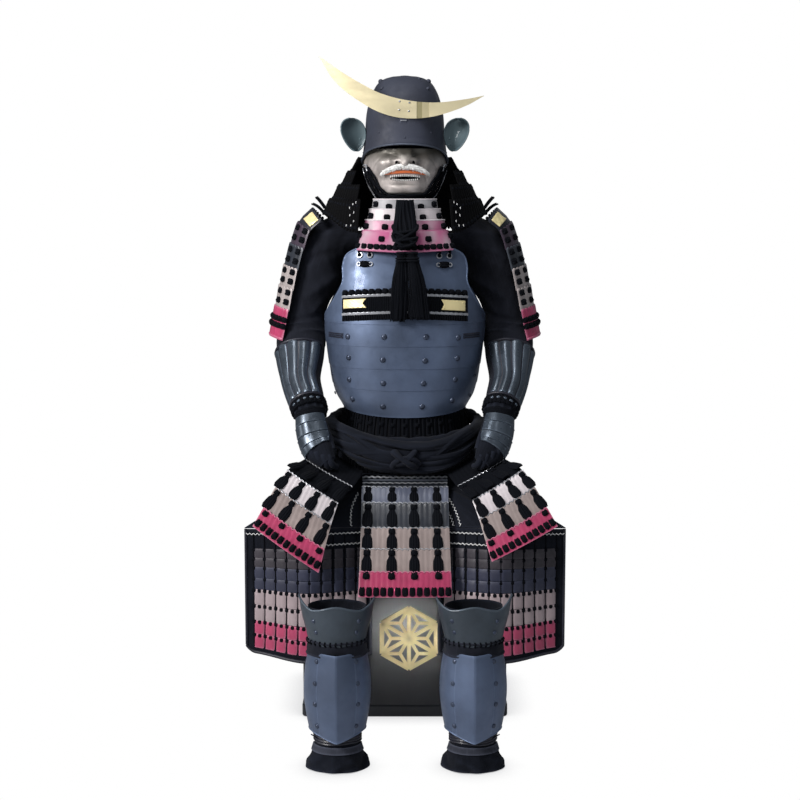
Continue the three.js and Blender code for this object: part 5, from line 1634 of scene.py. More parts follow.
def make_hanging_lacing():
    """The long cords that hang the skirt panels from the cuirass, side by side, with bound rows."""
    angles = circle(96)
    parts = [shell(lacing_surface, angles, np.linspace(0.01, 1, 12), -LACING["wall"], -1.6, wrap=True)]
    count = 104
    for k in range(count):
        angle = FULL * (k + 0.5) / count
        v = np.linspace(0.0, 1.0, 9)
        sway = 0.012 * math.sin(2.4 * k) * np.sin(math.pi * v)
        depth = -0.9 + 0.3 * math.sin(1.7 * k)
        parts.append(laid(lacing_surface, angle + sway, v, depth, 4.1, 5, 0.8, look=1))
    around = circle(72)
    for level in (0.13, 0.34):
        spots = frames(lacing_surface, around[::2], level, 1.0)
        parts.append(stamp(KNOT, spots, 1, 0.9))
    make_piece("hanging_lacing", parts, ["black_lacing", "black_cord"])


# ------------------------------------------------------------------ sash
SASH = table(
    "at x y z high deep",
    (0, 0, -236, 662, 50, 21), (0.12, 58, -234, 666, 48, 21), (0.24, 108, -222, 680, 42, 20),
    (0.36, 148, -190, 700, 32, 18), (0.5, 176, -128, 713, 23, 14), (0.66, 184, -40, 718, 20, 11),
    (0.8, 160, 70, 718, 20, 11), (0.9, 95, 136, 718, 20, 11), (1, 0, 158, 718, 20, 11))


def sash_surface(turn, v):
    """Round the waist with v from -1 to 1, the front centre at 0. turn goes round the roll of cloth."""
    at = np.abs(v)

    def centre(s):
        x, y, z = (read(SASH, "at", name, np.abs(s)) for name in "xyz")
        return place(np.sign(s) * x, y, z)

    heading = unit(centre(v + 0.01) - centre(v - 0.01))
    up = unit(np.array([0, 0, 1.0]) - heading * heading[..., 2:])
    out = np.cross(heading, up)
    high, deep = read(SASH, "at", "high", at), read(SASH, "at", "deep", at)
    return centre(v) + up * (high * np.sin(turn))[..., None] + out * (deep * np.cos(turn))[..., None]


# Twisted rolls of the sash: where each starts round the waist and ends, the turn round the band at both,
# how far it swings, how often, and its height and depth.
SASH_ROLLS = (
    (-0.62, 0.60, 58, 40, 16, 1.3, 13, 8), (-0.58, 0.64, 18, 26, 24, 1.0, 14, 8),
    (-0.64, 0.56, -18, -8, 26, 1.4, 13, 8), (-0.50, 0.52, -56, -44, 18, 1.1, 14, 8),
    (-0.40, 0.30, 66, -62, 6, 1.0, 11, 7), (-0.22, 0.44, -64, 60, 8, 1.0, 11, 7))


def make_sash():
    """Twisted cloth round the waist: rolls that cross and slip under each other, with a knotted front."""
    turns = circle(36)
    run = np.linspace(-1, 1, 161)

    def folds(u, v):
        twist = 9.0 * v * math.pi
        rope = 3.2 * np.abs(np.sin(1.5 * u + twist)) ** 0.7
        small = 1.3 * np.sin(7 * u - 14 * v * math.pi + 2 * np.sin(5 * v))
        small = small * (0.5 + 0.5 * np.sin(3.1 * u + 11 * v))
        return rope + small - 3.4 - 4.0 * (1 - soft((np.abs(v) - 0.5) / 0.15))

    u, v = np.meshgrid(turns, run)
    outer = sash_surface(u, v)
    centre = outer.mean(1, keepdims=True)
    outer = outer + unit(outer - centre) * folds(u, v)[..., None]
    outer[-1] = outer[0]
    parts = [loft(outer[:-1], wrap=True)]
    for k, (start, end, turn0, turn1, swing, waves, high, deep) in enumerate(SASH_ROLLS):
        t = np.linspace(0, 1, 76)
        at = mix(start, end, t)
        turn = np.radians(mix(turn0, turn1, t) + swing * np.sin(FULL * waves * t + 1.9 * k))
        bury = 9 * (1 - np.sin(math.pi * np.clip(t, 0.02, 0.98)) ** 0.35)
        line = sash_surface(turn, at)
        middle = sash_surface(turn + math.pi, at)
        line = line - unit(line - middle) * (3.0 + 1.6 * np.sin(9 * t + k) + bury)[:, None]
        parts.append(cloth_roll(line, unit(line - middle), high, deep, k))
    sash = make_piece("sash", parts, ["black_cloth"], smooth=70)
    make_sash_knot()


def cloth_roll(line, outward, high, deep, phase):
    """A roll of thin cloth along a line, flattened against what it lies on, with folds along it."""
    heading = unit(np.gradient(line, axis=0))
    upward = unit(np.cross(heading, outward))
    angle = circle(18)
    t = np.linspace(0, 1, len(line))[:, None]
    fold = 1 + 0.10 * np.sin(3 * angle + 11 * t + phase) + 0.07 * np.sin(7 * angle - 16 * t + 2 * phase)
    swell = fold * (1 + 0.16 * np.sin(13 * t + 2.3 * phase))
    across = (high * swell * np.sin(angle))[..., None] * upward[:, None]
    out = (deep * swell * np.cos(angle))[..., None] * outward[:, None]
    return loft(line[:, None] + across + out)


def make_sash_knot():
    """Three thick loops of cloth that cross in front, each a smooth curve pulled by four points."""
    cloth = []
    loops = (
        ((-30, -258, 640), (-14, -286, 668), (14, -284, 672), (31, -260, 646)),
        ((-27, -262, 676), (-8, -290, 662), (12, -290, 646), (26, -264, 640)),
        ((-24, -262, 650), (-6, -282, 640), (10, -282, 662), (24, -262, 678)))
    for k, loop in enumerate(loops):
        t = np.linspace(0, 1, 24)
        pulls = ((1 - t) ** 3, 3 * t * (1 - t) ** 2, 3 * t ** 2 * (1 - t), t ** 3)
        line = sum(np.array(point, float) * pull[:, None] for point, pull in zip(loop, pulls))
        cloth.append(tube(line, 8.5 + 1.5 * np.sin(9 * t + k), 14, 0.8))
    make_piece("sash_knot", cloth, ["black_cloth"], smooth=70)


# ------------------------------------------------------------------ skirt panels
PANEL_BULGE, FRONT_PANEL_TILT = 5, 13
PANEL_ROWS = {
    "center": table("at ix iy iz ox oy oz", (0, -104, -213, 605, 104, -213, 605),
                    (0.4, -105, -298, 501, 105, -298, 501), (1, -110, -375, 348, 110, -375, 348)),
    "front": table("at ix iy iz ox oy oz", (0, 100, -224, 618, 212, -152, 678),
                   (0.25, 126, -284, 592, 243, -232, 650), (0.5, 158, -345, 569, 279, -310, 639),
                   (1, 201, -428, 432, 355, -400, 523)),
    "side": table("at ix iy iz ox oy oz", (0, 196, -112, 684, 196, 42, 684),
                  (0.5, 252, -138, 572, 252, 58, 572), (1, 288, -160, 446, 288, 74, 446)),
    "back": table("at ix iy iz ox oy oz", (0, 176, 96, 684, 8, 150, 684),
                  (0.5, 204, 146, 572, 9, 196, 572), (1, 226, 180, 446, 10, 224, 446)),
}
PANEL_LAMES = {
    "center": (0.08, 0.206, 0.407, 0.585, 0.78, 1),
    "front": (0, 0.25, 0.5, 0.665, 0.84, 1),
    "side": np.linspace(0, 1, 6),
    "back": np.linspace(0, 1, 6),
}


def panel_surface(rows, tilt=0.0):
    def surface(u, v):
        at = {name: read(rows, "at", name, v) for name in ("ix", "iy", "iz", "ox", "oy", "oz")}
        inner = place(at["ix"], at["iy"], at["iz"] + tilt * v * v)
        outer = place(at["ox"], at["oy"], at["oz"])
        u = np.asarray(u, float)
        spot = inner + (outer - inner) * u[..., None]
        outward = spot - place(0, TORSO_MIDDLE, spot[..., 2])
        return spot + unit(outward) * (PANEL_BULGE * 4 * u * (1 - u))[..., None]

    return surface


PANEL_LOOKS = ["slate_lace", "dark_lame", "beige_lace", "black_cord", "pink_lace", "white_lace", "silver"]
SLATE, DARK, BEIGE, PINK, WHITE, SILVER = 0, 1, 2, 4, 5, 6


def make_skirt():
    """Seven laced panels round the waist: one in front, and a front, a side and a back one on each side."""
    middle = panel_surface(PANEL_ROWS["center"])
    columns = (0.08, 0.355, 0.60, 0.86)
    rows = ((SLATE, True), (DARK, True), (BEIGE, True), (BEIGE, True), (PINK, True))
    parts = laced_rows(middle, PANEL_LAMES["center"], rows, columns, 17, foot_knots=13, rim=SILVER,
                       knot_size=1.3, foot_size=(1.12, 1.9, 1.1))
    parts += edge_braid(middle)
    parts += panel_back(middle)
    make_piece("skirt_center", parts, PANEL_LOOKS)
    rows = ((CORD, False), (CORD, True), (WHITE, True), (BEIGE, True), (PINK, True))
    for name, side in SIDES:
        surface = panel_surface(PANEL_ROWS["front"], FRONT_PANEL_TILT * side)
        parts = laced_rows(surface, PANEL_LAMES["front"], rows, (0.07, 0.36, 0.65, 0.93), 14, foot_knots=11,
                           rim=SILVER, knot_size=1.2, foot_size=(1.1, 1.7, 1.1))
        parts += panel_back(surface)
        make_piece(f"skirt_front_{name}", parts, PANEL_LOOKS, side)
        rows_hidden = ((DARK, False), (DARK, True), (WHITE, True), (BEIGE, True), (PINK, True))
        for kind in ("side", "back"):
            surface = panel_surface(PANEL_ROWS[kind])
            parts = laced_rows(surface, PANEL_LAMES[kind], rows_hidden, (0.08, 0.36, 0.64, 0.92), 15,
                               foot_knots=13)
            parts += panel_back(surface)
            make_piece(f"skirt_{kind}_{name}", parts, PANEL_LOOKS, side)


def edge_braid(surface):
    """Two silvered braids along the top of the panel with a dark band between them."""
    u = np.linspace(0.01, 0.99, 81)
    twist = 0.004 * np.sin(90 * u)
    return [laid(surface, u, 0.006 + twist, PLATE + 4.5, 2.4, 6, look=SILVER),
            laid(surface, u, 0.03, PLATE + 4.0, 3.0, 6, look=DARK),
            laid(surface, u, 0.052 + twist * 0.6, PLATE + 3.6, 1.6, 6, look=SILVER)]


def panel_back(surface):
    """The dark lining that closes the back of a panel."""
    us, vs = np.linspace(0.01, 0.99, 21), np.linspace(0.01, 0.985, 31)
    return [shell(surface, us, vs, 0.0, 0.7, look=DARK)]


# ------------------------------------------------------------------ thigh apron
APRON = {"inner": 78, "outer": 380, "bow": -376, "outer_y": -330}
APRON_EDGE = table("z y", (180, -350), (335, -326), (494, -262), (520, -252))
APRON_TOP = {"inner": 492, "middle": 512, "outer": 503}
APRON_BOTTOM = {"inner": 200, "middle": 187, "outer": 202, "corner": 26}
APRON_WAIST = {"half": 96, "y": -186, "z": 604, "side_rise": 6}
APRON_FOLD = 14
STITCH = 4.6


def apron_share(x):
    return (np.abs(x) - APRON["inner"]) / (APRON["outer"] - APRON["inner"])


def apron_y(x, z):
    share = apron_share(x)
    edge = read(APRON_EDGE, "z", "y", z)
    near = mix(edge, APRON["bow"], soft(np.maximum(0, share) * 2))
    far = mix(APRON["bow"], APRON["outer_y"], soft(share * 2 - 1) * 0.7 + (share * 2 - 1) * 0.3)
    return np.where(share < 0.5, near, far)


def bowed(levels, x):
    share = np.clip(apron_share(x), 0, 1)
    return np.where(share < 0.5, mix(levels["inner"], levels["middle"], soft(share * 2)),
                    mix(levels["middle"], levels["outer"], soft(share * 2 - 1)))


def apron_bottom(x):
    corner = APRON_BOTTOM["corner"]
    turn = np.clip((x - (APRON["outer"] - corner)) / corner, 0, 1)
    return bowed(APRON_BOTTOM, x) + corner * (1 - np.sqrt(np.maximum(0, 1 - turn * turn)))


def apron_surface(x, v):
    z = mix(bowed(APRON_TOP, x), apron_bottom(x), v)
    return place(x, apron_y(x, z), z)


# Bands of plates from the top down: shares of the panel's height where each starts and ends, and its look.
# Every band has two rows.
APRON_BANDS = (
    (0.155, 0.30, "plum_lame"), (0.30, 0.478, "blue_lame"), (0.478, 0.727, "dusty_white"),
    (0.727, 0.945, "pink_lace"))
APRON_MARGIN = {"inner": 14, "outer": 22}
APRON_COLUMNS = 10
APRON_TALL = 305  # from the top of the panel to its foot


def scale_plate(wide, tall):
    """A small oblong plate, crowned, with rounded lower corners."""
    a, b = np.meshgrid((-1, -0.88, -0.5, 0, 0.5, 0.88, 1), (0, 0.08, 0.4, 0.8, 0.93, 1.0))
    turn = np.clip((b - 0.85) / 0.15, 0, 1)
    half = wide / 2 * (1 - 0.16 * turn ** 2.2)
    out = 1.7 + 1.5 * (1 - a ** 2) * (1 - 0.5 * (2 * b - 1) ** 2)
    out = out - 0.9 * ((np.abs(a) > 0.99) | (b < 0.01) | (b > 0.99))
    return shell_points(place(a * half, b * tall, out), place(a * half, b * tall, 0.2))


def make_apron():
    """Two cloth panels over the thighs with four bands of small plates, corded and bound in leather."""
    x_inner = APRON["inner"] + APRON_MARGIN["inner"]
    x_outer = APRON["outer"] - APRON_MARGIN["outer"]
    pitch = (x_outer - x_inner) / APRON_COLUMNS
    looks = ["black_cloth", "plum_lame", "blue_lame", "dusty_white", "pink_lace", "black_cord", "leather"]
    cord = looks.index("black_cord")
    for name, side in SIDES:
        us = np.concatenate([np.linspace(APRON["inner"], APRON["outer"] - 26, 40),
                             APRON["outer"] - 26 * (1 - np.sin(np.linspace(0.15, 1.45, 9)))])
        parts = [rounded_plate(apron_surface, us, edged(0, 1, 36, 0.006), 0, 1.6, 0.8)]
        x = x_inner + pitch * (np.arange(APRON_COLUMNS) + 0.5)
        joints = []
        for top, bottom, look in APRON_BANDS:
            tall = (bottom - top) / 2
            template = scale_plate(pitch - 0.8, APRON_TALL * tall * 1.02)
            for level in (top, top + tall):
                parts.append(stamp(template, frames(apron_surface, x, level, 1.4), looks.index(look)))
                joints.append(level)
        lines = x_inner + pitch * np.arange(APRON_COLUMNS + 1)
        dot = sized(dome(1, 2.8, 8, 2, 3.0), (5.6, 5.2, 1))
        for level in joints:
            shown = level > 0.47
            size = 1.0 if shown else 0.85
            parts.append(stamp(dot, frames(apron_surface, lines, level + 0.012, 2.6), cord, size))
            if shown:
                middle = frames(apron_surface, x, level + 0.014, 3.6)
                parts.append(stamp(sized(dot, (0.9, 0.95, 1)), middle, cord))
        down = np.linspace(0.02, 0.94, 30)
        parts += [laid(apron_surface, line, down, 2.9, 1.25, 5, look=cord) for line in lines]
        parts += apron_border(looks.index("leather"))
        make_piece(f"apron_{name}", parts, looks, side)
        border_stitches(name, side)
    make_apron_top()


def apron_border(look):
    """A leather binding round the panel."""
    v = np.linspace(0.0, 0.975, 50)
    x = np.concatenate([np.full(50, APRON["inner"] + 3.0),
                        np.linspace(APRON["inner"] + 3.0, APRON["outer"] - 26, 50)[1:],
                        APRON["outer"] - 26 + 23 * np.sin(np.linspace(0.05, math.pi / 2, 12)),
                        np.full(50, APRON["outer"] - 3.0)])
    low = np.full(49 + 12, 0.985)
    share = np.concatenate([v, low, np.linspace(0.975, 0.0, 50)])
    return [laid(apron_surface, x, share, 1.4, 3.4, 8, 1.0, look=look)]


def border_stitches(name, side):
    """Small running stitches inside the binding."""
    x = np.linspace(APRON["inner"] + 9, APRON["outer"] - 20, 60)
    spots = frames(apron_surface, x, 0.962, 2.0)
    thread = sized(dome(1, 0.5, 6, 2), (1.8, 0.55, 1))
    make_piece(f"apron_stitches_{name}", [stamp(thread, spots)], ["black_cord"], side)


def apron_top_surface(u, v):
    waist, outer = APRON_WAIST, APRON["outer"]
    x = mix(waist["half"], outer, v) * u
    foot = bowed(APRON_TOP, outer * u) + 1.2
    z = mix(waist["z"] + waist["side_rise"] * u * u, foot, v)
    y = mix(waist["y"] - 4 * (1 - u * u), apron_y(outer * u, foot), np.maximum(0, v) ** 1.6)
    crown = APRON_FOLD * np.sin(math.pi * v) * soft((np.abs(x) - 100) / 120)
    return place(x, y, z + crown)


# Folds of the cloth over the thighs, each from a place across and down it to another, with its width and how
# far it stands out.
APRON_CREASES = (
    (-0.86, 0.10, -0.78, 0.95, 9, 3.0), (-0.62, 0.20, -0.66, 0.98, 12, -3.0),
    (-0.47, 0.05, -0.50, 0.80, 7, 2.2), (-0.20, 0.30, -0.16, 0.98, 8, -2.0),
    (0.10, 0.10, 0.14, 0.70, 7, 1.8), (0.33, 0.25, 0.30, 0.99, 10, -2.4),
    (0.55, 0.05, 0.60, 0.85, 8, 2.6), (0.74, 0.30, 0.70, 0.99, 12, -2.8),
    (0.90, 0.15, 0.86, 0.80, 8, 2.4))


def make_apron_top():
    """The black cloth over the thighs, sewn with white zigzag thread along its seams and ties."""
    us, vs = np.linspace(-1, 1, 131), np.linspace(0, 1, 49)
    field = creases(APRON_CREASES, 380, 330)
    top = shell(apron_top_surface, us, vs, field, lambda u, v: CLOTH + field(u, v))
    cloth = make_piece("apron_top", [top], ["black_cloth"], smooth=70)
    seams = ((-0.54, 0.40, -0.347, 0.985), (0.40, 0.36, 0.315, 0.985), (0.47, 0.42, 0.358, 0.985))
    stitches = [zigzag(apron_top_surface, *seam, CLOTH + 1.0, field) for seam in seams]
    make_piece("apron_top_stitches", stitches, ["thread"])
    for name, side in SIDES:
        lower = []
        for level, x0, x1 in ((0.034, 82, 376), (0.116, 82, 240)):
            count = int((x1 - x0) / STITCH)
            x = np.linspace(x0, x1, count)
            wave = 0.0105 * (np.arange(count) % 2)
            lower.append(laid(apron_surface, x, level + wave, 3.6, 1.3, 5))
        make_piece(f"apron_braid_{name}", lower, ["thread"], side)


def zigzag(surface, u0, v0, u1, v1, out, field):
    """Thread that runs to and fro across a seam."""
    ends = lifted(surface, np.array([u0, u1]), np.array([v0, v1]), 0)
    count = int(np.linalg.norm(ends[1] - ends[0]) / STITCH)
    t = np.linspace(0, 1, count)
    u, v = mix(u0, u1, t), mix(v0, v1, t)
    spot, _, _, outward = frames(surface, u, v, 0)
    side = np.cross(outward, unit(np.gradient(spot, axis=0)))
    swing = STITCH / 2 * (np.arange(count) % 2 * 2 - 1)
    points = spot + outward * (out + field(u, v))[..., None] + side * swing[..., None]
    return tube(points, 1.3, 5)


# ------------------------------------------------------------------ arms
SLEEVE = table(
    "at x y z wide deep",
    (0, 120, 12, 1187, 45, 60), (0.12, 172, 8, 1176, 55, 62), (0.23, 211, 5, 1138, 60, 62),
    (0.35, 231, 5, 1082, 61, 60), (0.49, 254, 3, 1000, 54.5, 58), (0.62, 261, -8, 935, 61.5, 56),
    (0.73, 259.5, -50, 885, 58, 51), (0.84, 254, -105, 832, 46, 46), (0.93, 240, -150, 790, 42, 42),
    (1, 232, -178, 764, 37, 36))
SPLINTS = {"from": 0.715, "to": 0.965, "start": -58, "end": 150, "count": 7}
GLOVE = table(
    "at x y z wide deep",
    (0, 230, -183, 758, 33, 29), (0.3, 223, -205, 722, 38, 27), (0.56, 212, -228, 688, 39, 25),
    (0.8, 199, -248, 668, 34, 21), (1, 184, -264, 650, 22, 13))
HAND_GUARD = {"start": -62, "end": 84, "off": 1.4, "levels": (0.08, 0.24, 0.42, 0.57, 0.70)}
SHOULDER_LINE = table("at x z", (0, 228, 1251), (0.14, 264, 1218), (0.31, 287, 1159), (0.5, 305, 1096),
                      (0.72, 322, 1021), (0.9, 335, 962), (1, 342, 934))
SHOULDER_ARC = {"radius": 82, "spread": 58, "y": 0}
SHOULDER_LAMES = (0, 0.14, 0.29, 0.45, 0.6, 0.75, 1)


def round_line(rows):
    """A surface round a centre line. The angle goes from the front to the outer side."""

    def centre(v):
        return place(*(read(rows, "at", name, v) for name in ("x", "y", "z")))

    def surface(angle, v):
        heading = unit(centre(v + 0.01) - centre(v - 0.01))
        front = unit(np.array([0, -1.0, 0]) + heading * heading[..., 1:2])
        out = np.cross(front, heading)
        wide, deep = read(rows, "at", "wide", v), read(rows, "at", "deep", v)
        return centre(v) + front * (deep * np.cos(angle))[..., None] + out * (wide * np.sin(angle))[..., None]

    return surface


sleeve_surface, glove_surface = round_line(SLEEVE), round_line(GLOVE)

# Folds of the sleeve, each from an angle and a share of the length to another, with its width and how far it
# stands out.
SLEEVE_CREASES = (
    (0.2, 0.10, 1.2, 0.26, 9, 4.0), (-0.6, 0.16, 0.5, 0.30, 8, -4.0), (1.6, 0.20, 2.6, 0.34, 9, 4.0),
    (-1.2, 0.30, 0.1, 0.44, 10, 5.0), (0.3, 0.36, 1.5, 0.46, 8, -4.0), (2.2, 0.38, 3.6, 0.50, 10, 4.5),
    (-0.9, 0.50, 0.6, 0.58, 9, -4.5), (-0.2, 0.55, 1.3, 0.62, 8, 4.5), (1.4, 0.50, 2.8, 0.60, 9, -4.0),
    (-1.4, 0.60, 0.2, 0.68, 7, 4.0), (3.0, 0.55, 4.4, 0.66, 9, 4.0), (-1.0, 0.40, -0.4, 0.52, 7, 3.5),
    (3.2, 0.22, 4.2, 0.36, 9, -4.0), (4.0, 0.40, 4.9, 0.30, 8, 3.5))


SLEEVE_FULL = 11  # how far the cloth swells toward the body below the armpit


def make_arms():
    """Folded cloth sleeves, with the splints, gloves and shoulder guards over them."""
    for name, side in SIDES:
        us = circle(66)
        vs = np.linspace(0, 1, 85)
        field = creases(SLEEVE_CREASES, 50, 620, FULL)

        def puff(u, v, field=field):
            fade = 1 - soft((v - 0.66) / 0.05)
            small = 0.9 * np.sin(9 * u + 60 * v) * np.sin(23 * v + 2 * u)
            inward = read(SLEEVE, "at", "x", v) - sleeve_surface(u, v)[..., 0]
            inward = inward / read(SLEEVE, "at", "wide", v)
            full = SLEEVE_FULL * np.clip(inward, 0, 1) ** 2 * np.exp(-(((v - 0.33) / 0.09) ** 2))
            return (field(u, v) + small) * fade * soft(v / 0.06) + full

        tube_cloth = shell(sleeve_surface, us, vs, lambda u, v: puff(u, v) - CLOTH, puff, wrap=True)
        solids = (f"sleeve_upper_{name}", f"sleeve_lower_{name}")
        sleeve = make_piece(f"sleeve_{name}", [tube_cloth], ["sleeve_cloth"], side, 70, solids)
        make_splints(name, side)
        make_wrist_frill(name, side)
        make_glove(name, side)
        make_fingers(name, side)
        make_hand_guard(name, side)
        make_shoulder_guard(name, side)


def make_splints(name, side):
    """Long steel splints round the forearm, each ridged, held between bands at the elbow and the wrist."""
    start, end = math.radians(SPLINTS["start"]), math.radians(SPLINTS["end"])
    step = (end - start) / SPLINTS["count"]
    around, down = np.linspace(start, end, 60), np.linspace(SPLINTS["from"], SPLINTS["to"], 30)
    parts = [shell(sleeve_surface, around, down, 2.2, 3.0, look=1)]
    for k in range(SPLINTS["count"]):
        low, high = start + step * (k + 0.07), start + step * (k + 0.93)
        top = SPLINTS["from"] + 0.004 + 0.006 * math.sin(2.1 * k)
        us, vs = np.linspace(low, high, 13), edged(top, SPLINTS["to"] - 0.012, 30, 0.004)

        def face(u, v, low=low, high=high, vs=vs):
            s = (u - low) / (high - low) * 2 - 1
            ends = np.isclose(v, vs[0]) | np.isclose(v, vs[-1])
            return 3.6 + 3.9 * (1 - np.abs(s) ** 1.7) - 0.9 * ends - 0.5 * (np.abs(s) > 0.99)

        parts.append(shell(sleeve_surface, us, vs, 2.6, face))
        pins = frames(sleeve_surface, (low + high) / 2, np.array([vs[2], vs[-3]]), 7.2)
        parts.append(stamp(stud(1.6), pins))
    for level in (SPLINTS["from"] + 0.001, SPLINTS["to"] - 0.004):
        parts.append(laid(sleeve_surface, np.linspace(start, end, 40), level, 4.6, 3.2, look=1))
    make_piece(f"forearm_splints_{name}", parts, ["bright_steel", "leather"], side)


def make_wrist_frill(name, side):
    """Knotted cords where the sleeve meets the glove, over a gathered cuff, with five steel beads."""
    rng = np.random.default_rng(21)
    frill = []
    for ring, level, count in ((0, 0.968, 26), (1, 0.985, 26), (2, 1.0, 24)):
        angle = circle(count) + 0.1 * ring
        spots = frames(sleeve_surface, angle, np.full(count, level), 2.0 + 1.2 * ring)
        frill.append(stamp(KNOT, spots, 0, rng.uniform(0.75, 1.05, count)))
    angle = np.linspace(0, FULL, 60)
    for level in (0.975, 0.993):
        frill.append(laid(sleeve_surface, angle, level + 0.003 * np.sin(7 * angle), 2.2, 2.8))
    angle = np.linspace(0, FULL, 49)
    for level, size in ((0.0, 5.0), (0.035, 4.4), (0.065, 3.6)):
        frill.append(laid(glove_surface, angle, level + 0.008 * np.sin(6 * angle), 1.6, size))
    angle = circle(48)
    first, last = lifted(sleeve_surface, angle, 0.99, 1.0), lifted(glove_surface, angle, 0.05, 2.0)
    gathers = 0.05 * np.cos(12 * angle)[:, None]
    outer = []
    for t in np.linspace(0, 1, 7):
        ring = mix(first, last, t)
        centre = ring.mean(axis=0)
        outer.append(centre + (ring - centre) * (1 + (gathers + 0.06) * math.sin(math.pi * t)))
    inner = [ring.mean(axis=0) + (ring - ring.mean(axis=0)) * 0.94 for ring in outer]
    frill.append(loft(np.stack([*outer, *inner[::-1]]), wrap=True, look=2))
    beads = frames(sleeve_surface, np.radians([-44, -22, 0, 22, 44]), 0.985, 6.0)
    frill.append(stamp(sized(dome(1, 2.8, 10, 3), (5.5, 3.6, 1)), beads, 1))
    looks = ["black_cord", "bright_steel", "black_cloth"]
    make_piece(f"wrist_frill_{name}", frill, looks, side)


def make_glove(name, side):
    """A cloth glove over a loosely closed hand, open at the wrist."""
    us = circle(72)
    vs = np.linspace(0, 1, 61)

    def form(u, v):
        turn = (u + math.pi) % (FULL) - math.pi
        grip = soft((v - 0.55) / 0.15)
        fingers = 2.4 * np.abs(np.sin(2.3 * (turn + 1.2))) ** 0.8 * grip
        return fingers - 2.6 * grip + 0.7 * np.sin(5 * turn + 30 * v) * (1 - grip)

    u, v = np.meshgrid(us, vs)
    outer = lifted(glove_surface, u, v, form(u, v))
    inner = lifted(glove_surface, u[:-3], v[:-3], form(u[:-3], v[:-3]) - CLOTH)
    rings = np.concatenate([inner[::-1], outer])
    glove = make_piece(f"glove_{name}", [loft(rings)], ["black_cloth"], side, 70)


def make_fingers(name, side):
    """Four fingers that curl down and inward, and a thumb."""
    knuckles = ((226, -247, 676, 30), (211, -256, 668, 34), (196, -261, 662, 33), (183, -262, 660, 28))
    t = np.linspace(0, 1, 12)
    fingers = []
    for x, y, z, reach in knuckles:
        curl = y - 7 * np.sin(math.pi * t * 0.8) + 14 * t ** 2
        line = place(x - 10 * t - 8 * t ** 2, curl, z + 8 - reach * np.sin(t * 1.5))
        fingers.append(tube(line, 8.6 - 1.6 * t ** 2, 12))
    thumb = place(190 - 16 * t, -214 - 34 * t, 716 - 26 * t - 10 * t ** 2)
    fingers.append(tube(thumb, 9.6 - 1.8 * t ** 2, 12))
    make_piece(f"glove_fingers_{name}", fingers, ["black_cloth"], side, 70)


def make_hand_guard(name, side):
    """Four ridged plates over the back of the hand, riveted together on a leather lining."""
    start, end = math.radians(HAND_GUARD["start"]), math.radians(HAND_GUARD["end"])
    levels, off = HAND_GUARD["levels"], HAND_GUARD["off"]
    plates = []
    for top, bottom, count, high in zip(levels[:-1], levels[1:], (2, 3, 2, 3), (0.8, 1.5, 0.8, 1.5)):

        def ridged(u, v, count=count, high=high):
            share = (u - start) / (end - start)
            return off + PLATE + high * np.abs(np.sin(math.pi * count * share))

        us, vs = edged(start, end, 34, 0.02), edged(top + 0.004, bottom - 0.006, 12, 0.008)
        plates.append(rounded_plate(glove_surface, us, vs, off, ridged, 1.1))
    for level in levels[1:-1]:
        u = np.linspace(start + 0.1, end - 0.1, 5)
        plates.append(stamp(stud(1.9), frames(glove_surface, u, level + 0.03, 4.2)))
    down = np.linspace(levels[0], levels[-1], 20)
    lining = shell(glove_surface, np.linspace(start, end, 30), down, 0.9, off, look=1)
    make_piece(f"hand_guard_{name}", [*plates, lining], ["bright_steel", "leather"], side)


def shoulder_surface(angle, v):
    def spot(t):
        return place(read(SHOULDER_LINE, "at", "x", t), 0, read(SHOULDER_LINE, "at", "z", t))

    heading = unit(spot(v + 0.01) - spot(v - 0.01))
    out = place(-heading[..., 2], 0, heading[..., 0])
    point = spot(v) - out * (SHOULDER_ARC["radius"] * (1 - np.cos(angle)))[..., None]
    point[..., 1] = SHOULDER_ARC["y"] + SHOULDER_ARC["radius"] * np.sin(angle)
    return point


def make_shoulder_guard(name, side):
    """Six laced lames down the upper arm under a leather cap with gilt fittings at its two ends."""
    spread = math.radians(SHOULDER_ARC["spread"])

    def raised(u, v):
        return lifted(shoulder_surface, (2 * np.asarray(u, float) - 1) * spread, v, -PLATE)

    def chased(u, v):
        return 7.6 + 0.7 * np.cos(60 * u) * np.cos(90 * v)

    looks = ["black_lacing", "purple_lace", "dark_lame", "black_cord", "bone_lace", "pink_lace", "gold",
             "leather"]
    dark, pink, gold = 2, 5, 6
    rows = ((7, False), (1, True), (dark, True), (4, True), (4, True), (pink, False))
    parts = laced_rows(raised, SHOULDER_LAMES, rows, (0.075, 0.27, 0.73, 0.925), 14, bells_too=False,
                       knot_levels=(0.24, 0.7), knot_size=1.3)
    u = np.linspace(0.04, 0.96, 12)
    for level in (0.835, 0.885):
        parts.append(stamp(KNOT, frames(raised, u, level, PLATE + 2.4), CORD, 1.25))
    parts.append(laid(raised, np.linspace(0.01, 0.99, 40), 0.985, PLATE, 2.6, look=pink))
    for u0, u1 in ((0.04, 0.27), (0.73, 0.96)):
        us, vs = edged(u0, u1, 16, 0.01), edged(0.018, 0.10, 10, 0.005)
        parts.append(rounded_plate(raised, us, vs, 6.0, chased, 0.9, gold))
    us, vs = np.linspace(0.01, 0.99, 21), np.linspace(0.01, 0.985, 41)
    parts.append(shell(raised, us, vs, 0.0, 0.7, look=dark))
    make_piece(f"shoulder_guard_{name}", parts, looks, side)
    ties = []
    for y in (-40, 34):
        t = np.linspace(0, 1, 10)
        ties.append(tube(place(221 - 22 * t, y + 4 * t, 1279 - 22 * t - 6 * t ** 2), 2.6, 8))
        ties.append(tube(place(232 - 32 * t, y + 9 + 2 * t, 1262 - 8 * t - 18 * t ** 2), 2.2, 8))
    make_piece(f"shoulder_ties_{name}", ties, ["black_cord"], side)


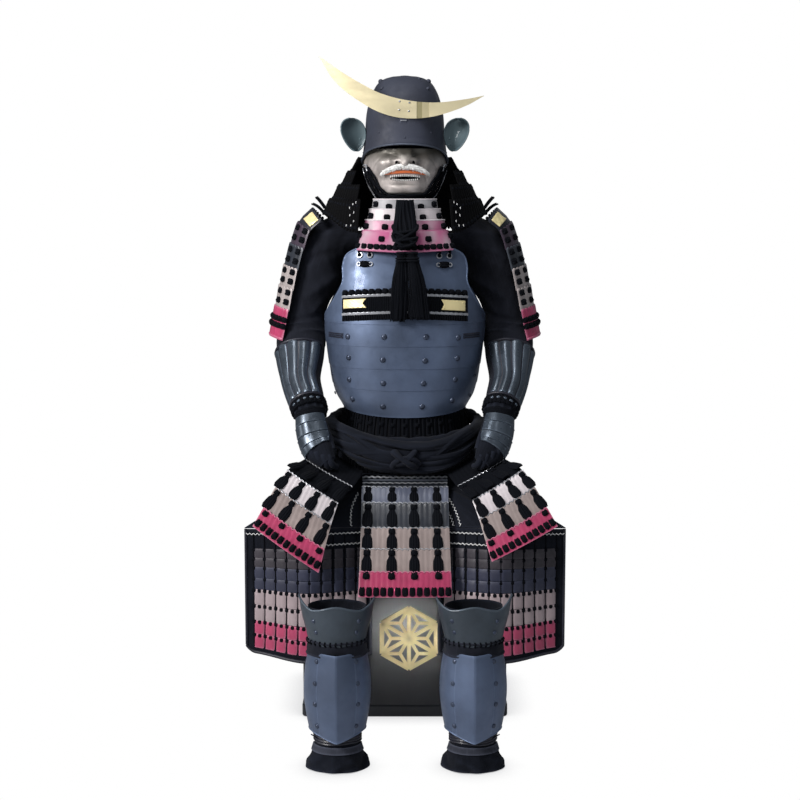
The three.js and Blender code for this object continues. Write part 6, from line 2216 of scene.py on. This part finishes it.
# ------------------------------------------------------------------ legs
LEG = {"x": 154, "y": -548}
GAITER = table("z half front", (0, 73, 60), (32, 60, 52), (72, 50, 45), (120, 60, 52), (180, 67, 57),
               (240, 65, 55), (285, 55, 49), (330, 62, 53), (380, 66, 56))
SHIN = table("z half front", (70, 60, 57), (120, 70, 65), (175, 76, 70), (230, 73, 67), (278, 64, 60))
SHIN_PLATE = {"top": 276, "bottom": 92, "point": 18, "keel": 15, "spread": 98}
KNEE = table("z half front", (278, 61, 58), (320, 70, 63), (355, 79, 65), (400, 86, 65))
KNEE_PLATE = {"bottom": 281, "middle": 383, "dip": 10, "wing": 398, "spread": 92}


def leg_surface(rows, keel=0.0):
    def surface(angle, z):
        front = read(rows, "z", "front", z)
        spot = hoop(read(rows, "z", "half", z), front, front, 2, 0, angle, z)
        spot[..., 1] -= keel * np.maximum(0, 1 - np.abs(angle) / math.radians(36))
        return spot + np.array([LEG["x"], LEG["y"], 0.0])

    return surface


# Folds of the gaiter, each from an angle and a height (as a minus) to another, with its width and how far it
# stands out.
GAITER_CREASES = (
    (-0.8, -30, 0.2, -8, 7, 4.5), (0.3, -36, 1.0, -4, 6, -4.0), (-1.6, -26, -0.9, -3, 7, -4.0),
    (0.9, -28, 1.7, -10, 8, 4.5), (2.2, -32, 2.9, -6, 8, 4.0), (3.4, -30, 4.2, -8, 7, -4.0),
    (-0.2, -22, 0.1, -2, 5, 3.5), (1.9, -20, 2.2, -2, 6, -3.5), (4.2, -24, 4.9, -4, 7, 4.0),
    (-2.4, -260, -1.2, -225, 8, 3.0), (2.4, -180, 3.8, -150, 9, 3.0), (3.0, -300, 4.2, -280, 8, -3.0),
    (2.0, -120, 3.4, -95, 8, -3.0), (-0.4, -345, 0.9, -352, 7, -2.5))


def make_legs():
    for name, side in SIDES:
        make_gaiter(name, side)
        make_shin(name, side)
        make_knee(name, side)


def make_gaiter(name, side):
    """A cloth gaiter down to the foot, gathered at the ankle by three cords over a grey hem band."""
    surface = leg_surface(GAITER)
    us = circle(66)
    vs = np.linspace(-374, -1.2, 74)
    field = creases(GAITER_CREASES, 58, 1.0, FULL)

    def downward(u, v):
        return surface(u, -v)

    def cuff(u, v):
        foot = soft((v + 44) / 30)
        ripple = 2.2 * np.sin(6 * u + 1.3 * np.sin(2 * u)) * foot
        tie = -2.4 * np.exp(-(((v + 72) / 6) ** 2))
        return field(u, v) + ripple + tie + 0.5 * np.sin(11 * u + v * 0.2)

    gaiter = shell(downward, us, vs, lambda u, v: cuff(u, v) - CLOTH, cuff, wrap=True)
    piece = make_piece(f"gaiter_{name}", [gaiter], ["black_cloth"], side, 70)
    bands = []
    angle = np.linspace(-math.pi, math.pi, 73)
    for level, size in ((-76, 4.4), (-70, 4.2), (-64, 3.6)):
        bands.append(laid(downward, angle, level + 1.4 * np.sin(3 * angle), 1.2, size, 8, 0.8))
    bands.append(leg_band_tab(downward))
    bands.append(shell(downward, np.linspace(-1.6, 1.6, 50), np.linspace(-56, -40, 6), 0.6,
                       lambda u, v: cuff(u, v) * 0.5 + 2.6, look=1))
    make_piece(f"ankle_tie_{name}", bands, ["leather", "grey_cloth"], side)
    make_knee_tie(name, side, downward)


def make_knee_tie(name, side, downward):
    """A padded strap below the knee with cords along its edges and a row of short loops over it."""
    front = np.linspace(-1.75, 1.75, 70)
    strap = shell(downward, front, np.linspace(-296, -266, 9), 7.0,
                  lambda u, v: 12.5 - 0.012 * (v + 281) ** 2 + 0.6 * np.sin(9 * u))
    ring = [strap]
    for level, size in ((-299, 2.8), (-265, 2.2)):
        ring.append(laid(downward, front, level + 1.2 * np.sin(5 * front), 10.0, size))
    for angle in np.radians(np.linspace(-84, 84, 15)):
        t = np.linspace(0, 1, 6)
        arch = np.sin(math.pi * t)
        out = 10.5 + 2.4 * arch
        ring.append(laid(downward, angle + 0.03 * arch, mix(-304, -292, t), out, 2.0, 6, look=1))
    make_piece(f"knee_tie_{name}", ring, ["sleeve_cloth", "black_cord"], side)


def leg_band_tab(surface):
    """The tied end of the ankle band, standing out at the outer side."""
    t = np.linspace(0, 1, 10)
    angle = math.radians(58) + 0.10 * t
    return laid(surface, angle, -72 - 14 * t, 4 + 12 * t, 4.0 - 1.5 * t, 8, 0.5)


def make_shin(name, side):
    """Three long steel plates: a keeled one in front and one round each side, riveted, with rolled edges."""
    top, bottom, tip = SHIN_PLATE["top"], SHIN_PLATE["bottom"], SHIN_PLATE["point"]
    shaped = leg_surface(SHIN, SHIN_PLATE["keel"])

    def surface(angle, v):
        foot = bottom - tip * np.maximum(0, 1 - np.abs(angle) / math.radians(66))
        return shaped(angle, mix(top, foot, v))

    spread = SHIN_PLATE["spread"]
    parts = []
    for low, high, lift in ((-spread, -37, 0.0), (-39, 39, 1.0), (37, spread, 0.0)):
        us, vs = edged(math.radians(low), math.radians(high), 24, 0.02), edged(0, 1, 36, 0.008)
        parts.append(rounded_plate(surface, us, vs, -2.4 + lift * 0.4, lift, 1.1))
    for angle in np.radians([-spread, spread]):
        parts.append(laid(surface, angle, np.linspace(0, 1, 40), -1.2, 2.3))
    parts.append(laid(surface, np.radians(np.linspace(-spread, spread, 60)), 1.0, -0.8, 2.2))
    rivet_x = np.radians([-42, 42])
    for level in (0.10, 0.36, 0.61, 0.88):
        parts.append(stamp(stud(5.6, 3.2), frames(surface, rivet_x, level, 0.9), 1))
    make_piece(f"shin_plate_{name}", parts, ["blued_steel", "rivet_steel"], side, 16)


def make_knee(name, side):
    """A knee plate that flares upward, with an arched head, a taller outer wing and a rolled edge."""
    spread = math.radians(KNEE_PLATE["spread"])
    form = leg_surface(KNEE)

    def surface(angle, v):
        share = angle / spread
        ends = np.where(share > 0, KNEE_PLATE["wing"], (KNEE_PLATE["wing"] + KNEE_PLATE["middle"]) / 2)
        head = KNEE_PLATE["middle"] - KNEE_PLATE["dip"] * soft(np.abs(share) * 2)
        wing = mix(KNEE_PLATE["middle"] - KNEE_PLATE["dip"], ends, soft(np.abs(share) * 2 - 1))
        top = np.where(np.abs(share) < 0.5, head, wing)
        return form(angle, mix(top, KNEE_PLATE["bottom"], v))

    us, vs = edged(-spread, spread, 60, 0.015), edged(0, 1, 30, 0.01)
    parts = [rounded_plate(surface, us, vs, -PLATE, 0.0, 1.1)]
    parts.append(laid(surface, np.linspace(-spread, spread, 90), 0.0, -1.0, 2.5))
    angle, level = np.radians([-46, -43, 46, 43]), np.array([0.26, 0.54, 0.26, 0.54])
    parts.append(stamp(stud(5.2, 3.2), frames(surface, angle, level, -0.3), 1))
    make_piece(f"knee_plate_{name}", parts, ["dull_steel", "rivet_steel"], side)


# ------------------------------------------------------------------ stand
def make_stand():
    """The stand is shown by its own solids, in wood."""
    for node in ("stand_post", "stand_crossbar", "stand_head"):
        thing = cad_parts[node]
        thing.data.materials.clear()
        thing.data.materials.append(LOOKS["stand_wood"])


make_chest()
make_stand()
make_helmet()
make_mask()
make_throat_guard()
make_chin_knot()
make_cuirass()
make_chest_band()
make_shoulder_straps()
make_hanging_lacing()
make_sash()
make_skirt()
make_apron()
make_arms()
make_legs()
